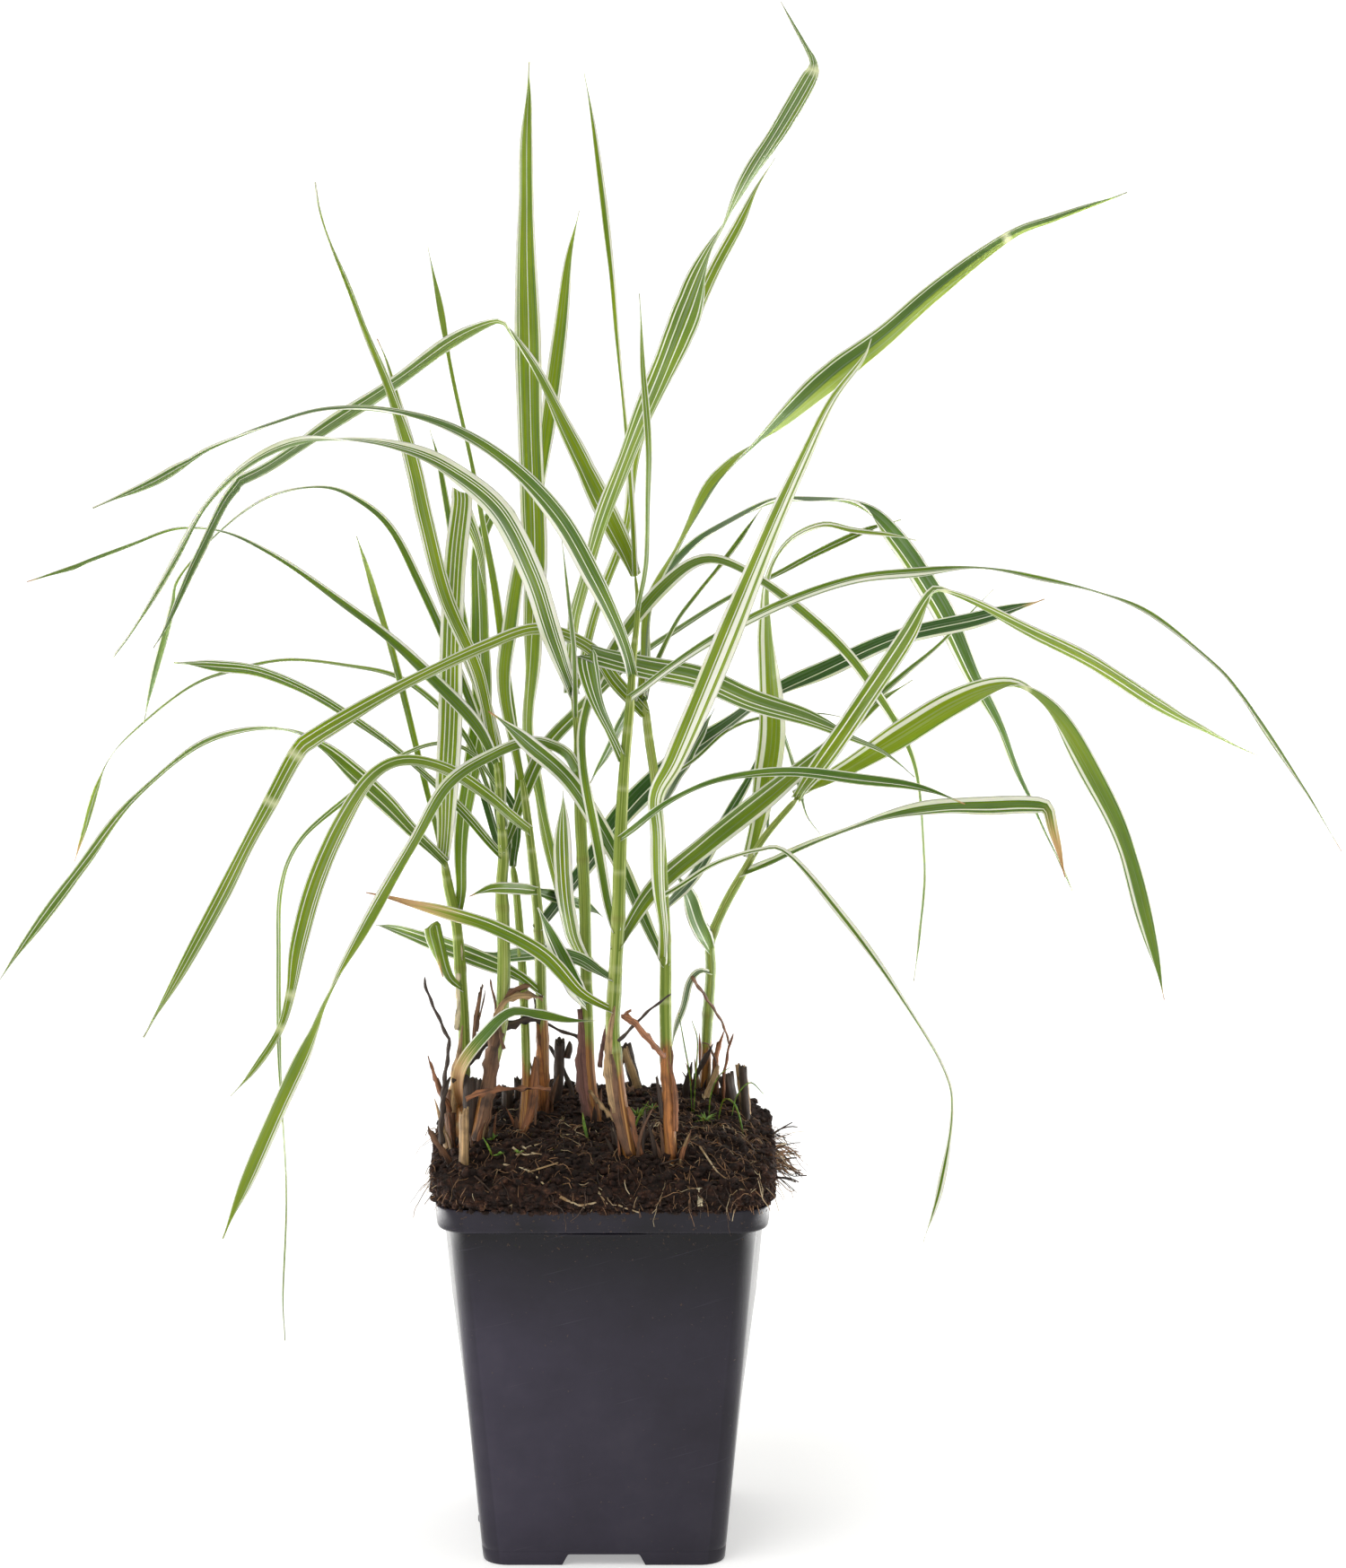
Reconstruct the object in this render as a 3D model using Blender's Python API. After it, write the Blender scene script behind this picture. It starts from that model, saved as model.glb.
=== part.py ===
"""Potted reed canary grass: a square nursery pot, its peat and roots, eight culms and their leaves.

Metres, Z up. The origin is the middle of the pot's foot, on the surface that the pot stands on. The
front of the plant faces -Y. Sizes below are in millimetres unless their name says otherwise.
"""

import math
import random

import bmesh
import bpy
from mathutils import Vector

MM = 0.001

# Pot: a 9 cm square nursery pot, thin walled and tapered.
POT_WIDTH = 88.0
POT_HEIGHT = 102.0
FOOT_WIDTH = 65.0
CORNER_RADIUS = 8.0
FOOT_CORNER_RADIUS = 7.0
WALL = 1.1
BAND_HEIGHT = 6.7
BAND_STEP = 1.5
BAND_LEDGE = 0.9
EDGE_ROUNDING = 0.4
EDGE_RISE = 0.8
FLOOR_HEIGHT = 3.5
NOTCH_WIDTH = 23.0
NOTCH_TOP_WIDTH = 19.0
NOTCH_HEIGHT = 3.2
HOLE_RADIUS = 3.0
HOLE_PLACE = 19.0
CENTRE_PAD_RADIUS = 8.0

# Root ball: peat that stands proud of the rim.
SOIL_PROUD = 9.5
SOIL_CROWN = 14.0
SOIL_ROUGHNESS = 0.7
GAP = 0.3

# Culms and blades.
CULM_SIDES = 7
POCKET_DEPTH = 8.0
POCKET_SLACK = 0.9
BLADE_THICKNESS = 0.5
BLADE_FOLD = 0.16
BLADE_STEP = 13.0
BLADE_RINGS = (8, 17)
MOST_TWIST = math.radians(45)

# Routes are drawn in a front view that looks down by this angle, from this far away, at this point
# above the foot; from_view puts them in the frame.
VIEW_ANGLE = math.radians(12)
VIEW_DISTANCE = 1500.0
VIEW_ACROSS = 18.5
VIEW_HEIGHT = 206.8

# A culm's depths are those of its base, middle and top, positive behind the pot's middle. Its points
# are across, up and its diameter.
CULM_ROUTES = {
    "culm_1": ((-15, -8, 0), [
        (-38, 110, 3.1), (-37, 124.5, 3.3), (-37, 139, 3.1), (-38, 153.5, 3.1), (-39, 165, 3.1),
        (-41, 174.5, 2.9), (-42.5, 183, 2.6)]),
    "culm_2": ((-22, -14, -6), [
        (-33.5, 107.5, 3.3), (-30.5, 123.5, 3.3), (-27.5, 136.5, 3.3), (-26.5, 148.5, 3.3),
        (-26.5, 163, 3.3), (-27, 174.5, 3.1), (-26.5, 184, 2.9), (-27.5, 197.5, 2.4),
        (-28.5, 209, 1.9)]),
    "culm_3": ((-18, -2, 6), [
        (-21.5, 109, 2.6), (-20.5, 124.5, 2.4), (-21, 143.5, 2.4), (-22, 160.5, 2.4),
        (-23, 172.5, 2.1), (-24, 180.5, 2.1)]),
    "culm_4": ((-1, -6, -4), [
        (-16, 114, 3.3), (-16, 129.5, 3.3), (-16.5, 146, 3.1), (-17, 163, 3.1), (-18, 174.5, 2.9),
        (-19.5, 188, 2.6), (-21.5, 203.5, 2.4)]),
    "culm_5": ((-13, -2, 6), [
        (-2, 111, 3.6), (-4, 127, 3.6), (-4.5, 148.5, 3.3), (-5, 172.5, 3.3), (-6, 191.5, 3.3),
        (-6.5, 205, 2.9), (-7, 216.5, 2.1), (-8, 226, 2.1)]),
    "culm_6": ((-31, -23.4, -9), [
        (7, 103.5, 3.3), (4, 121, 3.6), (2.5, 136.5, 3.6), (3, 148.5, 3.6), (4, 167.5, 3.6),
        (4.5, 186.5, 3.6), (5.5, 205.5, 3.1), (7, 222.5, 2.9), (8, 236.5, 2.4), (9, 246, 2.1),
        (9, 252, 1.8), (8.5, 257.5, 1.6)]),
    "culm_7": ((-32, -22, -4), [
        (18, 103.5, 3.1), (17, 122.5, 3.1), (16.5, 141.5, 3.1), (16.5, 158, 3.1), (15.5, 182, 2.9),
        (14, 201, 2.6), (12, 215, 2.6), (11, 224.5, 2.4)]),
    "culm_8": ((30, 24, 14), [
        (27, 119.5, 2.9), (27.5, 136.5, 2.9), (28.5, 152, 2.9), (28.5, 160.5, 2.6), (32, 169.5, 2.6),
        (37, 178.5, 2.4), (43, 188.5, 2.1), (51.5, 198.5, 1.9)]),
}

# A blade's depths are those of its base, middle and tip. Its points are across, up, and how much of
# its width faces the front there; a negative width shows its underside.
LEAF_ROUTES = {
    "leaf_1_1": ((-17.5, -28, -26), [
        (-40, 117, 2), (-37.5, 127.5, 3), (-31, 136, 3.5), (-24.5, 141.5, 1), (-17.5, 141, 3),
        (-9, 139.5, 2), (-2, 139.5, 0)]),
    "leaf_1_2": ((-1.5, 22.5, 77.5), [
        (-37.5, 165.5, 2.5), (-37, 191.5, 4), (-32.5, 219.5, 5.5), (-32.5, 243.5, 5), (-33, 263, 4),
        (-30, 273, 3), (-27.5, 276, 3.5), (-24, 273, 2.5), (-21.5, 263, 1.5), (-20, 253.5, 0)]),
    "leaf_1_3": ((-3, -22, -40), [
        (-41.5, 181, 2), (-49.5, 188.5, 3), (-57.5, 197, 5), (-67, 205.5, 5), (-75, 212, 1),
        (-84, 216.5, -0.5), (-96, 216, -1.5), (-109, 211, -0.5), (-124.5, 198, -1), (-137, 182, -2.5),
        (-148, 167.5, -3), (-160.5, 150, 0)]),
    "leaf_1_4": ((-1, 0, 30), [
        (-42, 184.5, 3.5), (-41.5, 201, 6), (-40.5, 220, 6.5), (-40, 243.5, 6), (-39, 263, 6),
        (-37.5, 277, 5.5), (-38, 280.5, 5), (-37.5, 276.5, 4.5), (-33, 265, 2.5), (-31, 251, 0)]),
    "leaf_1_5": ((2.5, 14, -50.5), [
        (-42.5, 184.5, 2), (-45.5, 195, 1.5), (-48.5, 207, 1.5), (-52.5, 223.5, 2), (-56.5, 239, 1.5),
        (-60, 250.5, 2), (-62.5, 259, 1.5), (-65.5, 268, 0)]),
    "leaf_2_1": ((-7.5, 14, 26), [
        (-27.5, 182.5, 2), (-33.5, 190.5, 2.5), (-41, 198.5, 1.5), (-49, 206, 1.5), (-61, 215.5, 1.5),
        (-76, 225.5, 2.5), (-91, 232, 3), (-103, 233.5, 3.5), (-109.5, 234, 2), (-114, 234.5, 0)]),
    "leaf_2_2": ((-7.5, 34, 70), [
        (-26.5, 184.5, 2), (-17, 209, 4), (-6.5, 221.5, 3.5), (7, 234, 2), (23.5, 245.5, 1.5),
        (35.5, 252.5, 1), (45.5, 257.5, 1), (55.5, 263, 2), (68.5, 269, 2), (79, 272.5, 0)]),
    "leaf_2_3": ((-6.8, 20, 46), [
        (-27, 190, 2), (-28, 209.5, 3), (-34, 230, 3), (-42.5, 253, 4), (-47.5, 274, 4),
        (-52, 292.5, 4), (-55, 306, 1.5), (-57.5, 314.5, 1), (-60, 320.5, 0)]),
    "leaf_2_4": ((-6, 40, 72), [
        (-28.5, 195, 1), (-35.5, 213, 1.5), (-44, 223, 1.5), (-54.5, 230.5, 1.5), (-67, 233.5, 1),
        (-84, 235, 0.5), (-99.5, 232, 1.5), (-109.5, 228, 0.5), (-122, 218.5, 0.5), (-130.5, 210, 1),
        (-134.5, 201, -2), (-138, 189, -1.5), (-140.5, 181.5, 0)]),
    "leaf_2_5": ((-5, 6, -30), [
        (-28, 201, 1), (-35, 210.5, 1), (-44, 213, 1), (-55.5, 208.5, 1), (-66, 200, 2),
        (-80, 187.5, 1), (-85.5, 174.5, 1.5), (-86, 155.5, 1.5), (-86, 134, 1.5), (-85, 113, 0.5),
        (-84, 91.5, 0.5), (-85, 67.5, 0.5), (-84.5, 54.5, 0)]),
    "leaf_2_6": ((-8.8, -14, -30), [
        (-28, 208, 2), (-34, 218.5, 3.5), (-44, 229, 3.5), (-56, 240, 2.5), (-72.5, 252.5, 2),
        (-89, 263.5, 1), (-100.5, 269, 0.5), (-112.5, 270, 0.5), (-124.5, 266, -1),
        (-136.5, 261.5, -1), (-141, 259.5, -1.5), (-153, 256, 0)]),
    "leaf_2_7": ((-5.8, -9, -35.5), [
        (-29, 212, 2.5), (-33.5, 232, 3.5), (-42, 251.5, 4), (-47, 271, 4.5), (-51.5, 290, 4),
        (-57.5, 307.5, 2), (-65, 326.5, 1.5), (-72, 344.5, 0.5), (-75.5, 355, 0.5), (-76.5, 362, 0)]),
    "leaf_3_1": ((5, 34, 52), [
        (-23.5, 183, 2), (-23, 208, 1.5), (-26.5, 236.5, 2.5), (-29, 254.5, 2), (-32, 271, 1.5),
        (-36, 291.5, 1), (-40.5, 312.5, 1), (-43, 327, 2), (-45, 337, 1), (-46.5, 345, 0)]),
    "leaf_3_2": ((8.9, 7.5, 50), [
        (-24, 184, 1.5), (-31.5, 213, 2), (-40.5, 237, 2.5), (-49, 256, 2.5), (-56.5, 270, 2),
        (-65, 277.5, 1.5), (-74.5, 281, 0.5), (-88.5, 278.5, 0.5), (-101.5, 269.5, 0.5),
        (-112.5, 257, 0.5), (-114.5, 248.5, 2), (-119, 232, 2), (-122, 218.5, 0)]),
    "leaf_4_1": ((-8.8, 0.5, 34), [
        (-16.5, 146.5, 1), (-23.5, 151.5, 3), (-34, 156, 5), (-46, 160.5, 4), (-54.5, 163.5, 2.5),
        (-60.5, 165, 0)]),
    "leaf_4_2": ((0.5, 32, 11.5), [
        (-17, 163, 2), (-3.5, 181.5, 4.5), (6.5, 195, 6), (18, 206.5, 7), (31.5, 216.5, 2),
        (42.5, 224.5, 2.5), (57, 231.5, 5), (78, 241, 4.5), (99.5, 246, 4.5), (111.5, 249.5, 2),
        (117, 251.5, 0)]),
    "leaf_4_3": ((-7.6, -44.5, -66), [
        (-20.5, 190, 2), (-31, 199, 3), (-42, 206, 2.5), (-53, 208, 2), (-61.5, 203.5, 3.5),
        (-69.5, 191.5, 4.5), (-76.5, 175.5, 5), (-81, 159, 4.5), (-83, 146.5, 2.5), (-86, 136.5, 2),
        (-92.5, 126.5, 2), (-99, 119.5, 0)]),
    "leaf_4_4": ((-2.3, 37, 47.5), [
        (-21.5, 203.5, 2), (-26, 227, 3.5), (-24.5, 245, 4.5), (-21, 265, 3.5), (-17, 282, 3.5),
        (-14, 303, 4.5), (-11.5, 322, 4), (-9.5, 339, 2.5), (-7.5, 349.5, 1), (-6.5, 354.5, 0)]),
    "leaf_5_1": ((-10, -24, -36), [
        (-5.5, 143.5, 2), (-9, 151, 5), (-14, 161.5, 4), (-17.5, 169.5, 0)]),
    "leaf_5_2": ((-7, -16, -24), [
        (-7, 154.5, 2), (-10, 170, 4), (-11, 184.5, 5), (-11, 193.5, 3.5), (-10.5, 200.5, 0)]),
    "leaf_5_3": ((-0.9, 16, 8), [
        (-7, 155, 2), (-12, 173.5, 3.5), (-17, 196, 2.5), (-20.5, 215, 2.5), (-19.5, 236.5, 4),
        (-18.5, 263, 6.5), (-19.5, 296, 6.5), (-20, 320, 7), (-20.5, 341.5, 5.5), (-20.5, 357.5, 4),
        (-20.5, 372.5, 3.5), (-20, 385.5, 1.5), (-19.5, 394, 0)]),
    "leaf_5_4": ((1, -58, -104), [
        (-6.5, 205, 3), (-10.5, 211, 3), (-19.5, 213.5, 2.5), (-30, 209.5, 2.5), (-41.5, 201.5, 3.5),
        (-50.5, 186, 2.5), (-61.5, 167, 3.5), (-71.5, 148.5, 1.5), (-78, 133.5, -3.5),
        (-86, 116.5, -4), (-94.5, 97, -3.5), (-101, 81.5, 0)]),
    "leaf_5_5": ((3.8, -57, -46), [
        (-8, 226, 2.5), (-13.5, 241.5, 5.5), (-19, 258, 6), (-28, 275, 6), (-42, 286, 4),
        (-55.5, 291.5, 2.5), (-68.5, 293.5, 1), (-81.5, 292.5, -2), (-94.5, 286.5, -1.5),
        (-105, 276.5, -1), (-113.5, 261.5, -1.5), (-124.5, 243.5, -0.5), (-130, 236, 0)]),
    "leaf_5_6": ((9, 34, 30), [
        (-6.5, 227, 2), (-2.5, 246, 2.5), (6, 269.5, 2.5), (10, 295.5, 3), (20.5, 319, 4),
        (29, 338, 3.5), (36, 351, 3), (41, 361, 1), (45.5, 368.5, 0)]),
    "leaf_5_7": ((4, -26, -44), [
        (-9, 233, 2), (-6.5, 248.5, 3), (-1, 267.5, 3.5), (7.5, 291, 4.5), (15.5, 310, 6),
        (22.5, 328, 8), (28, 342.5, 2), (31.5, 349.5, 1), (38, 362, -3), (47, 376.5, -4.5),
        (54, 388.5, -4.5), (56, 393, -2.5), (54.5, 397.5, -1), (47, 410, 0)]),
    "leaf_6_1": ((-30.6, -32.5, -49.5), [
        (1.5, 142, 1.5), (-6.5, 147, 3), (-16, 157, 4), (-29, 164, 3.5), (-41, 168, 3.5),
        (-53, 171, 1.5), (-63, 173.5, 0)]),
    "leaf_6_2": ((-23, 8, 33.5), [
        (3, 157.5, 2), (13, 173, 4.5), (27.5, 186, 5.5), (42.5, 198, 6), (56.5, 209.5, 3.5),
        (66, 217, 2.5), (74, 224.5, 2), (82, 230, 0)]),
    "leaf_6_3": ((-23, 15.5, 36), [
        (2.5, 163, 2.5), (-1, 184, 3), (-5, 208, 2.5), (-4, 222.5, 2.5), (3.5, 238.5, 3),
        (15.5, 254, 4.5), (27, 261.5, 2), (40, 257, 2.5), (55.5, 245.5, 3), (69.5, 230.5, 3),
        (82, 208.5, 1.5), (85, 182, 0.5), (84, 163, 1), (82.5, 150, 0)]),
    "leaf_6_4": ((-24.7, -53, -62), [
        (4.5, 187.5, 1.5), (18.5, 198, 1), (32.5, 203.5, 1), (49.5, 205.5, 2.5), (68.5, 203.5, 3),
        (83, 201.5, 2), (96, 197, 0)]),
    "leaf_6_5": ((-15.5, -6, 5), [
        (6, 209.5, 2), (-0.5, 222, 3), (-3.5, 233, 6), (-3.5, 237.5, 5), (-0.5, 236.5, 5),
        (11, 233.5, 6), (25.5, 230.5, 6.5), (39.5, 224.5, 6), (54, 220, 4.5), (66, 215, 1.5),
        (74.5, 211, 1), (82.5, 204, 0)]),
    "leaf_6_6": ((-18.3, -33.5, -37.5), [
        (7.5, 225, 2), (17.5, 233, 2), (30.5, 241.5, 2.5), (47.5, 250, 2.5), (66.5, 256.5, 2.5),
        (85, 258.5, 2.5), (100.5, 259.5, 0.5), (116, 256.5, 1.5), (131.5, 253, 0.5), (145.5, 247, 1.5),
        (161.5, 234.5, 1), (169, 226, 1), (177, 214.5, 1.5), (187.5, 198.5, 0.5), (196, 184.5, 0)]),
    "leaf_6_7": ((-16.8, -63.5, -89), [
        (8, 231.5, 3), (4, 243, 3), (-2.5, 256.5, 5), (-12, 273, 5), (-25, 286.5, 3),
        (-40.5, 296.5, 2.5), (-57.5, 301, 1), (-74.5, 301.5, 1), (-88.5, 297.5, 1), (-103.5, 291.5, 1),
        (-111.5, 287, -2.5), (-120.5, 282, -2.5), (-135.5, 275.5, 0)]),
    "leaf_6_8": ((-14.5, -30, -40), [
        (9, 248, 1.5), (11.5, 261.5, 1), (12, 279.5, 1), (12, 293.5, 2), (10.5, 313, 1.5),
        (10, 326, 0.5), (9.5, 332.5, 0)]),
    "leaf_6_9": ((-8, 4, -63), [
        (8.5, 259, 3), (4, 268, 5.5), (-1.5, 279, 6), (-9, 294, 4), (-17.5, 310.5, 2.5),
        (-25.5, 323, 1), (-29.5, 324.5, -2), (-39.5, 319.5, -3.5), (-53.5, 309.5, -3),
        (-72.5, 297, -3.5), (-88.5, 286.5, -2), (-96, 282.5, -2.5), (-101, 275.5, -2),
        (-108.5, 260.5, -2), (-115, 246, -1), (-119.5, 238.5, 0)]),
    "leaf_6_10": ((-9.5, 15.5, 23), [
        (8.5, 261, 1.5), (7.5, 277, 1.5), (6, 296, 1), (4, 315, 1), (2.5, 334, 1.5), (0.5, 353, 2),
        (-2, 372.5, 1.5), (-4, 385.5, 0.5), (-5, 391, 0)]),
    "leaf_7_1": ((-21.8, -4.5, -26.5), [
        (16.5, 154, 2), (9.5, 168.5, 2.5), (2.5, 184.5, 4.5), (-8.5, 202.5, 4.5), (-20, 213, 4.5),
        (-26.5, 218.5, 1.5), (-30.5, 221.5, 0)]),
    "leaf_7_2": ((-28.6, -36.5, -69.5), [
        (17.5, 155.5, 2), (15.5, 172, 3), (15, 189, 4), (14.5, 199, 3), (19.5, 208.5, 5.5),
        (27, 226.5, 6.5), (35, 246, 6.5), (43.5, 266.5, 4.5), (52.5, 287, 3.5), (60.5, 303.5, 2),
        (68.5, 314.5, 1.5), (71, 320.5, 0)]),
    "leaf_7_3": ((-18.8, 29, 35), [
        (16.5, 169.5, 2), (25, 179, 3), (33.5, 194.5, 3), (39.5, 205, 2), (43, 214, 0)]),
    "leaf_7_4": ((-23, -44, -88), [
        (17.5, 172.5, 1.5), (28.5, 180.5, 1), (41, 184.5, 0.5), (49, 183.5, 1), (63.5, 167, 2.5),
        (78, 147, 1), (90, 127, 0.5), (92.5, 115, 0.5), (89.5, 96, 2), (85, 80.5, 0)]),
    "leaf_7_5": ((0.3, -28, -84), [
        (11.5, 221, 3), (3.5, 229, 4), (-4, 238.5, 3), (-17, 243, 3), (-31, 238.5, 3), (-47.5, 231, 3),
        (-64, 222, 3.5), (-77.5, 214, 5), (-81.5, 210, 4.5), (-88.5, 197, 4), (-94.5, 186, 3.5),
        (-101.5, 172, 4), (-111.5, 153.5, 3), (-122, 135, 0)]),
    "leaf_7_6": ((0, 30, 49.5), [
        (10, 225, 1.5), (18.5, 243.5, 1), (24.5, 252, 0.5), (32, 261.5, 1.5), (38, 269.5, 1.5),
        (42, 275.5, 0)]),
    "leaf_7_7": ((7.4, 66, 96), [
        (11, 228.5, 2), (13.5, 251.5, 2), (25, 266, 2), (42.5, 276, 1), (54, 277.5, 1.5),
        (66, 276.5, 0.5), (75.5, 269.5, 5), (89, 250, 6.5), (98, 231, 4.5), (105.5, 216.5, 2.5),
        (110.5, 203.5, 1.5), (117.5, 189, 0.5), (124.5, 174, 0)]),
    "leaf_7_8": ((3, 42, 70), [
        (10.5, 230.5, 2), (12.5, 249, 2), (20, 264.5, 1), (28, 279.5, 3.5), (34, 286.5, 2),
        (39.5, 291.5, 1), (49, 300, -4.5), (62, 311.5, -7.5), (74.5, 321, -5.5), (90, 334.5, -5),
        (107.5, 347.5, -2.5), (120.5, 352.5, -2), (139, 359.5, 0)]),
    "leaf_8_1": ((17.5, 6, -4), [
        (37.5, 178, 1.5), (49.5, 183.5, 1.5), (62.5, 189, 0.5), (75.5, 193.5, 1.5), (90, 196, 4),
        (103, 196.5, 5), (113, 196.5, 4.5), (118.5, 193, 3.5), (121, 186, 2),
        (123.5, 177.5, 0)]),
    "leaf_8_2": ((22, 22, 26), [
        (39.5, 183, 2.5), (42.5, 198.5, 6), (45, 215, 7.5), (44.5, 232, 5.5), (44, 243.5, 3),
        (44, 257, 1.5), (49, 266, 1), (58, 270.5, 0.5), (66, 269.5, 1.5), (75.5, 268.5, 2),
        (83, 267, 0)]),
    "leaf_8_3": ((11, -43, -1), [
        (51, 199, 2), (58, 208, 5), (69.5, 224.5, 5), (80.5, 241, 4.5), (86.5, 251.5, 2),
        (89.5, 253.5, 1), (98.5, 250, -1.5), (113.5, 242.5, -3), (130.5, 234, -3.5),
        (147, 223.5, -3.5), (160.5, 216, -1), (173.5, 210, 0)]),
    "leaf_8_4": ((17, -10.5, -46), [
        (51.5, 199, 2), (62.5, 205, 3), (78, 214.5, 7.5), (93, 223.5, 6.5), (104.5, 228, 5),
        (112.5, 227, 1.5), (121.5, 218, -5.5), (130, 203.5, -5.5), (138, 187, -4.5),
        (143.5, 167.5, -4.5), (149, 145, 0)]),
}

# A cut stub's points are its base and top: across, up and its diameter, at one depth.
STUB_ROUTES = {
    "cut_stub_1": (-32, [(-37, 103, 2.6), (-37, 115.5, 2.6)]),
    "cut_stub_2": (21, [(10, 118.5, 2.2), (5.5, 131.5, 2.2)]),
    "cut_stub_3": (10, [(38, 114, 2.2), (37, 127, 2.1)]),
}


def clear_scene():
    for thing in list(bpy.data.objects):
        bpy.data.objects.remove(thing, do_unlink=True)


def make_material(name, colour, roughness, metallic=0.0):
    material = bpy.data.materials.new(name)
    material.use_nodes = True
    shader = material.node_tree.nodes["Principled BSDF"]
    shader.inputs["Base Color"].default_value = (*colour, 1.0)
    shader.inputs["Roughness"].default_value = roughness
    shader.inputs["Metallic"].default_value = metallic
    return material


def from_view(across, up, depth):
    """A point drawn in the front view, in millimetres, put at its depth."""
    rise = up - VIEW_HEIGHT * math.cos(VIEW_ANGLE)
    distance = VIEW_DISTANCE + depth / math.cos(VIEW_ANGLE)
    distance /= 1 + rise * math.tan(VIEW_ANGLE) / VIEW_DISTANCE
    growth = distance / VIEW_DISTANCE
    height = (rise * growth - depth * math.sin(VIEW_ANGLE)) / math.cos(VIEW_ANGLE)
    return Vector((VIEW_ACROSS + (across - VIEW_ACROSS) * growth, depth, VIEW_HEIGHT + height))


def through(values, t):
    """The quadratic that has the three values at t = 0, a half and 1."""
    first, middle, last = values
    return first * (1 - t) * (1 - 2 * t) + middle * 4 * t * (1 - t) + last * t * (2 * t - 1)


def smooth(points, t):
    """A point of the Catmull-Rom curve through the points, t from 0 to 1."""
    spans = len(points) - 1
    i = min(int(t * spans), spans - 1)
    f = t * spans - i
    b, c = points[i], points[i + 1]
    a = points[i - 1] if i > 0 else b * 2 - c
    d = points[i + 2] if i + 2 <= spans else c * 2 - b
    bend = a * 2 - b * 5 + c * 4 - d
    turn = b * 3 - a - c * 3 + d
    return 0.5 * (b * 2 + (c - a) * f + bend * f ** 2 + turn * f ** 3)


def route_curve(depths, route, samples=200):
    """The route in the frame: (place, width) pairs at even steps of the drawn curve."""
    drawn = [Vector(point) for point in route]
    dense = [smooth(drawn, i / samples) for i in range(samples + 1)]
    run = [0.0]
    for a, b in zip(dense, dense[1:]):
        run.append(run[-1] + (b.xy - a.xy).length)
    return [(from_view(p.x, p.y, through(depths, s / run[-1])), p.z) for p, s in zip(dense, run)]


def even_steps(curve, step, fewest, most):
    """Picks points of the curve at equal lengths apart, ends included."""
    run = [0.0]
    for (a, _), (b, _) in zip(curve, curve[1:]):
        run.append(run[-1] + (b - a).length)
    count = max(fewest, min(most, round(run[-1] / step)))
    picked = []
    k = 0
    for i in range(count + 1):
        goal = run[-1] * i / count
        while k < len(run) - 2 and run[k + 1] < goal:
            k += 1
        f = (goal - run[k]) / (run[k + 1] - run[k])
        (a, wide_a), (b, wide_b) = curve[k], curve[k + 1]
        picked.append((a.lerp(b, f), wide_a + (wide_b - wide_a) * f))
    return picked


def tangents(places):
    out = []
    for i in range(len(places)):
        ahead = places[min(i + 1, len(places) - 1)]
        behind = places[max(i - 1, 0)]
        out.append((ahead - behind).normalized())
    return out


def add_object(name, mesh_builder, material):
    mesh = bpy.data.meshes.new(name)
    for vertex in mesh_builder.verts:
        vertex.co *= MM
    bmesh.ops.recalc_face_normals(mesh_builder, faces=mesh_builder.faces)
    mesh_builder.to_mesh(mesh)
    mesh_builder.free()
    mesh.materials.append(material)
    thing = bpy.data.objects.new(name, mesh)
    bpy.context.collection.objects.link(thing)
    return thing


def join_rings(builder, rings):
    """Skins a row of rings, each a list of vertices, and closes both ends."""
    for lower, upper in zip(rings, rings[1:]):
        for i in range(len(lower)):
            j = (i + 1) % len(lower)
            builder.faces.new((lower[i], lower[j], upper[j], upper[i]))
    builder.faces.new(list(reversed(rings[0])))
    builder.faces.new(rings[-1])


def square_ring(builder, half, radius, height, bumps=None):
    """A ring round a square with rounded corners, four points to a corner."""
    ring = []
    for corner in range(4):
        for step in range(4):
            angle = math.radians(90 * corner + 30 * step)
            turn = math.radians(90 * corner + 45)
            middle = (half - radius) * math.sqrt(2)
            x = middle * math.cos(turn) + radius * math.cos(angle)
            y = middle * math.sin(turn) + radius * math.sin(angle)
            lift = bumps.uniform(-SOIL_ROUGHNESS, SOIL_ROUGHNESS) if bumps else 0.0
            ring.append(builder.verts.new((x, y, height + lift)))
    return ring


def wall_half(height):
    """The outer half width of the tapered wall at a height."""
    top = POT_WIDTH / 2 - BAND_STEP
    return FOOT_WIDTH / 2 + (top - FOOT_WIDTH / 2) * height / (POT_HEIGHT - BAND_HEIGHT)


def add_cutter(name, builder):
    cutter = add_object(name, builder, None)
    cutter.hide_render = True
    cutter.display_type = "WIRE"
    return cutter


def use_boolean(thing, other, operation):
    modifier = thing.modifiers.new(operation.title(), "BOOLEAN")
    modifier.operation = operation
    modifier.solver = "EXACT"
    modifier.object = other


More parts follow.
